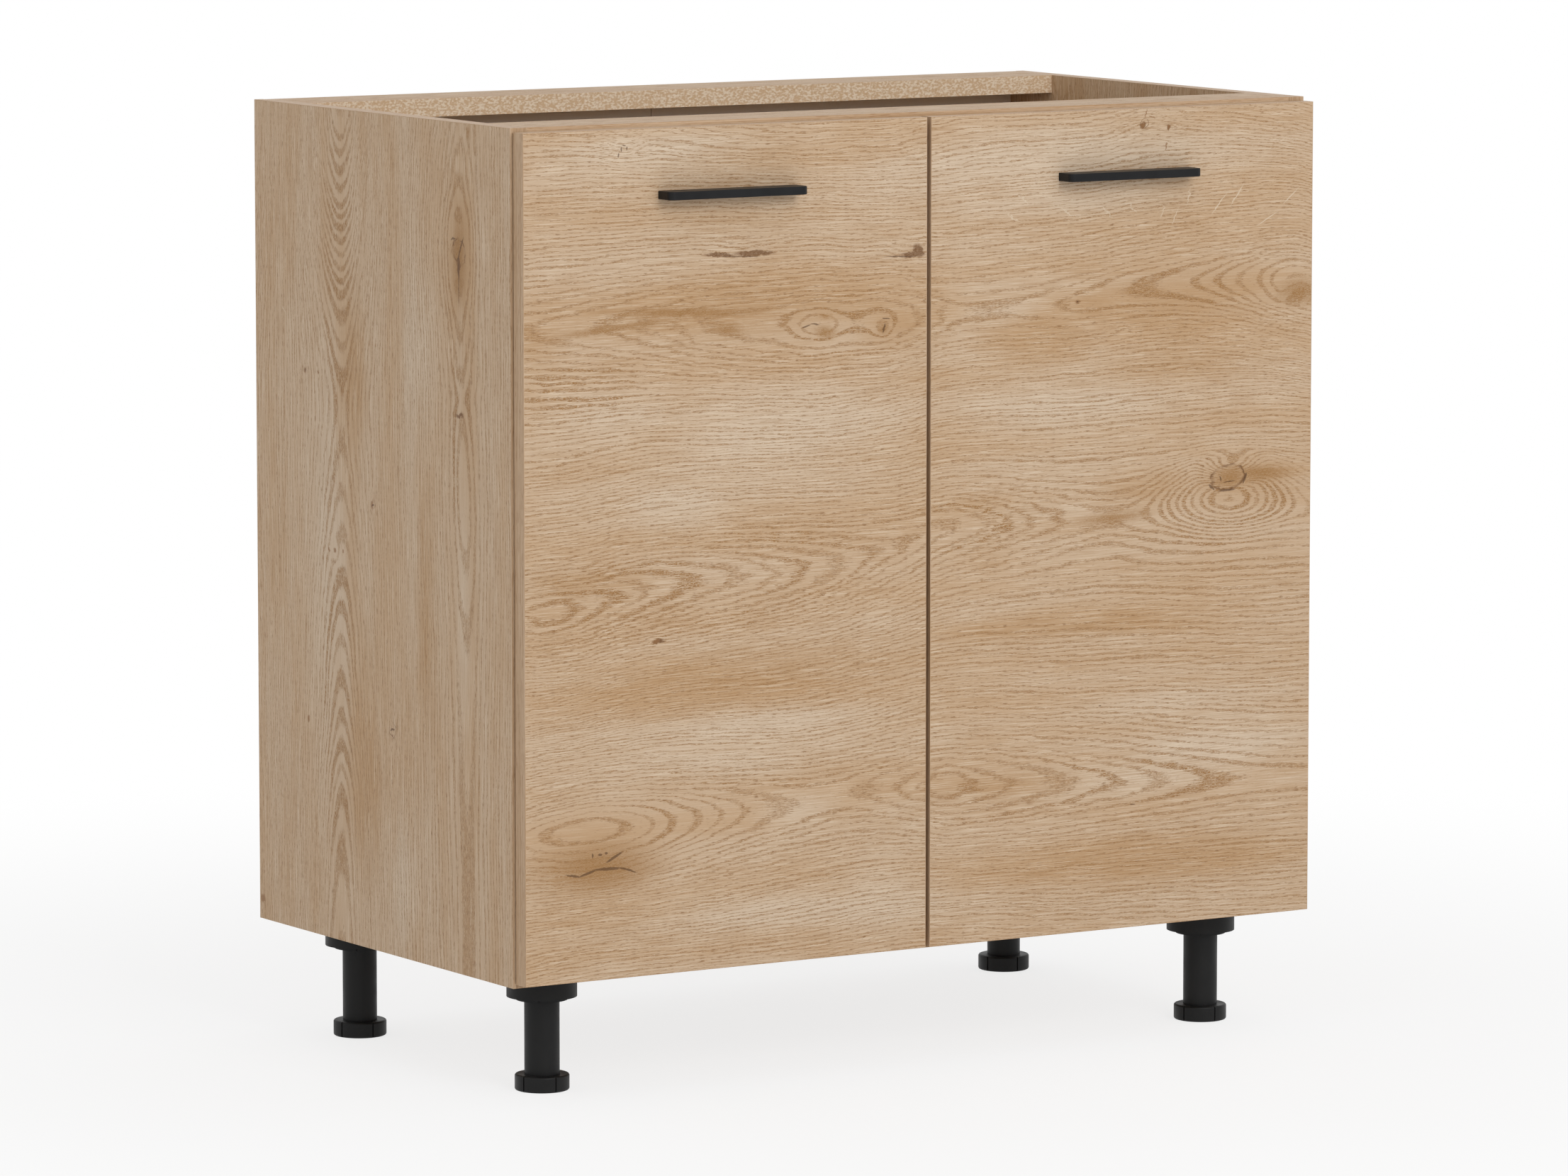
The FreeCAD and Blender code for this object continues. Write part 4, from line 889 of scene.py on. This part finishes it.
hardboard = {
    "white": colour(244, 241, 237),
    "offWhite": colour(240, 236, 231),
    "whiteFelt": colour(228, 223, 216),
    "darkBrown": colour(146, 108, 76),
    "lightBrown": colour(174, 136, 100),
    "stain": colour(138, 100, 70),
    "feltSize": 2.2,  # millimetres
    "cloudSize": 160,
    "rough": 0.62,
    "gloss": 0.5,
    "relief": 0.08,  # millimetres
    "reliefStrength": 0.4,
}


def backSheet():
    material, tree, shader = newMaterial("backSheet")
    places = objectPlace(tree)
    spot = pack3(tree, *places.values())
    felt = noise(tree, spot, (hardboard["feltSize"],) * 3, detail=4, rough=0.7, seed=71)
    clouds = noise(tree, spot, (hardboard["cloudSize"],) * 3, detail=2, seed=72)
    inner = blendColour(tree, remap(tree, clouds, 0.25, 0.75), hardboard["white"], hardboard["offWhite"])
    inner = blendColour(tree, remap(tree, felt, 0.3, 0.8, 0, 0.3), inner, hardboard["whiteFelt"])
    outer = blendColour(tree, remap(tree, felt, 0.35, 0.65), hardboard["darkBrown"], hardboard["lightBrown"])
    outer = blendColour(tree, remap(tree, clouds, 0.3, 0.7, 0, 0.35), outer, hardboard["stain"])
    corners = nodes["back_panel_left"].data.vertices
    middle = sum(corner.co.y for corner in corners) / len(corners) / mm
    behind = calc(tree, "GREATER_THAN", places["Y"], middle)
    finish(tree, shader, blendColour(tree, behind, inner, outer), felt, hardboard)
    return material


dress(backSheet(), "back_panel_left", "back_panel_right")


# bumper pads and the tape over the back's joint: soft plastic, sizes in millimetres

bumperLook = {
    "tone": colour(214, 214, 208),
    "darker": 0.9,  # tone of the dark clouds as a part of the tone
    "cloudSize": 3,
    "rough": 0.3,
    "gloss": 0.5,
    "relief": 0.02,
    "reliefStrength": 0.4,
}
tapeLook = {**bumperLook, "tone": colour(196, 184, 168), "rough": 0.5}


def softPlastic(name, look):
    material, tree, shader = newMaterial(name)
    spot = pack3(tree, *objectPlace(tree).values())
    cloud = noise(tree, spot, (look["cloudSize"],) * 3, detail=2, seed=81)
    dark = shaded(look["tone"], look["darker"])
    shade = blendColour(tree, remap(tree, cloud, 0.3, 0.7), look["tone"], dark)
    finish(tree, shader, shade, cloud, look)
    return material


dress(softPlastic("bumperSoft", bumperLook), "door_bumpers_left", "door_bumpers_right")
dress(softPlastic("seamTape", tapeLook), "back_joint_tape")
dress(bandOak("beech", bandLook, "X", "YZ"), "wood_dowels")
print("fittings dressed")


# floor, light and camera

studio = {
    "cameraAt": (-3.9247, -6.3368, 1.2886),
    "cameraYaw": 31.721,
    "cameraPitch": -6.864,
    "lens": 196.71,
    "sensor": 36,
    "farthest": 100,  # metres that the camera sees
    "skyStrength": 0.71,
    "keyAt": (-0.1, -4.8, 2.7),
    "keySize": 2.6,
    "keyPower": 81,
    "floorSize": 40,
    "floorTone": colour(238, 238, 238),
    "floorRough": 0.9,
    "floorGloss": 0.1,
    "nearWhite": 0.78,  # how far the floor by the cabinet is lifted to white, which keeps its shadow light
    "whiteFrom": 0.5,  # metres from the middle: from here on the floor fades to plain white
    "whiteAt": 1.7,
}


def seenDirectly(tree):
    # 1 for what the camera sees, also in a mirror or through glass, and 0 for what lights the object
    ray = tree.nodes.new("ShaderNodeLightPath").outputs
    seen = calc(tree, "MAXIMUM", ray["Is Camera Ray"], ray["Is Glossy Ray"])
    return calc(tree, "MAXIMUM", seen, ray["Is Transmission Ray"])


def buildStage():
    # a pale floor that lights and shades as usual, and that the camera sees as nearly white
    bpy.ops.mesh.primitive_plane_add(size=studio["floorSize"], location=(0, 0, 0))
    floor = bpy.context.object
    floor.name = "floor"
    material, tree, shader = newMaterial("paleFloor")
    shader.inputs["Base Color"].default_value = studio["floorTone"]
    shader.inputs["Roughness"].default_value = studio["floorRough"]
    shader.inputs["Specular IOR Level"].default_value = studio["floorGloss"]
    away = lengthOf(tree, tree.nodes.new("ShaderNodeTexCoord").outputs["Object"])
    white = remap(tree, away, studio["whiteFrom"], studio["whiteAt"], studio["nearWhite"], 1)
    glow = addNode(tree, "ShaderNodeEmission", {"Strength": 1})
    mixed = addNode(tree, "ShaderNodeMixShader", {"Fac": times(tree, seenDirectly(tree), white)})
    tree.links.new(shader.outputs["BSDF"], mixed.inputs[1])
    tree.links.new(glow.outputs[0], mixed.inputs[2])
    output = next(node for node in tree.nodes if node.type == "OUTPUT_MATERIAL")
    tree.links.new(mixed.outputs[0], output.inputs["Surface"])
    material.cycles.emission_sampling = "NONE"
    floor.data.materials.append(material)


def buildSky():
    # white as the camera sees it, and dimmer as the light on the object
    world = bpy.data.worlds.new("studio")
    bpy.context.scene.world = world
    world.use_nodes = True
    tree = world.node_tree
    tree.nodes.clear()
    output = tree.nodes.new("ShaderNodeOutputWorld")
    strength = blendValue(tree, seenDirectly(tree), studio["skyStrength"], 1.0)
    sky = addNode(tree, "ShaderNodeBackground", {"Strength": strength, "Color": (1, 1, 1, 1)})
    tree.links.new(sky.outputs[0], output.inputs["Surface"])


def buildLamp():
    lamp = bpy.data.lights.new("key", "AREA")
    lamp.shape = "DISK"
    lamp.size = studio["keySize"]
    lamp.energy = studio["keyPower"]
    holder = bpy.data.objects.new("key", lamp)
    bpy.context.scene.collection.objects.link(holder)
    holder.location = studio["keyAt"]
    middle = (cadBox[0] + cadBox[1]) / 2
    holder.rotation_euler = (middle - holder.location).to_track_quat("-Z", "Y").to_euler()


def buildCamera():
    camera = bpy.data.cameras.new("camera")
    camera.lens = studio["lens"]
    camera.sensor_width = studio["sensor"]
    camera.clip_end = studio["farthest"]
    holder = bpy.data.objects.new("camera", camera)
    bpy.context.scene.collection.objects.link(holder)
    holder.location = studio["cameraAt"]
    pitch, yaw = math.radians(90 + studio["cameraPitch"]), math.radians(-studio["cameraYaw"])
    holder.rotation_euler = (pitch, 0, yaw)
    bpy.context.scene.camera = holder


buildStage()
buildSky()
buildLamp()
buildCamera()
bpy.context.scene.view_settings.view_transform = "Standard"
print("stage ready")
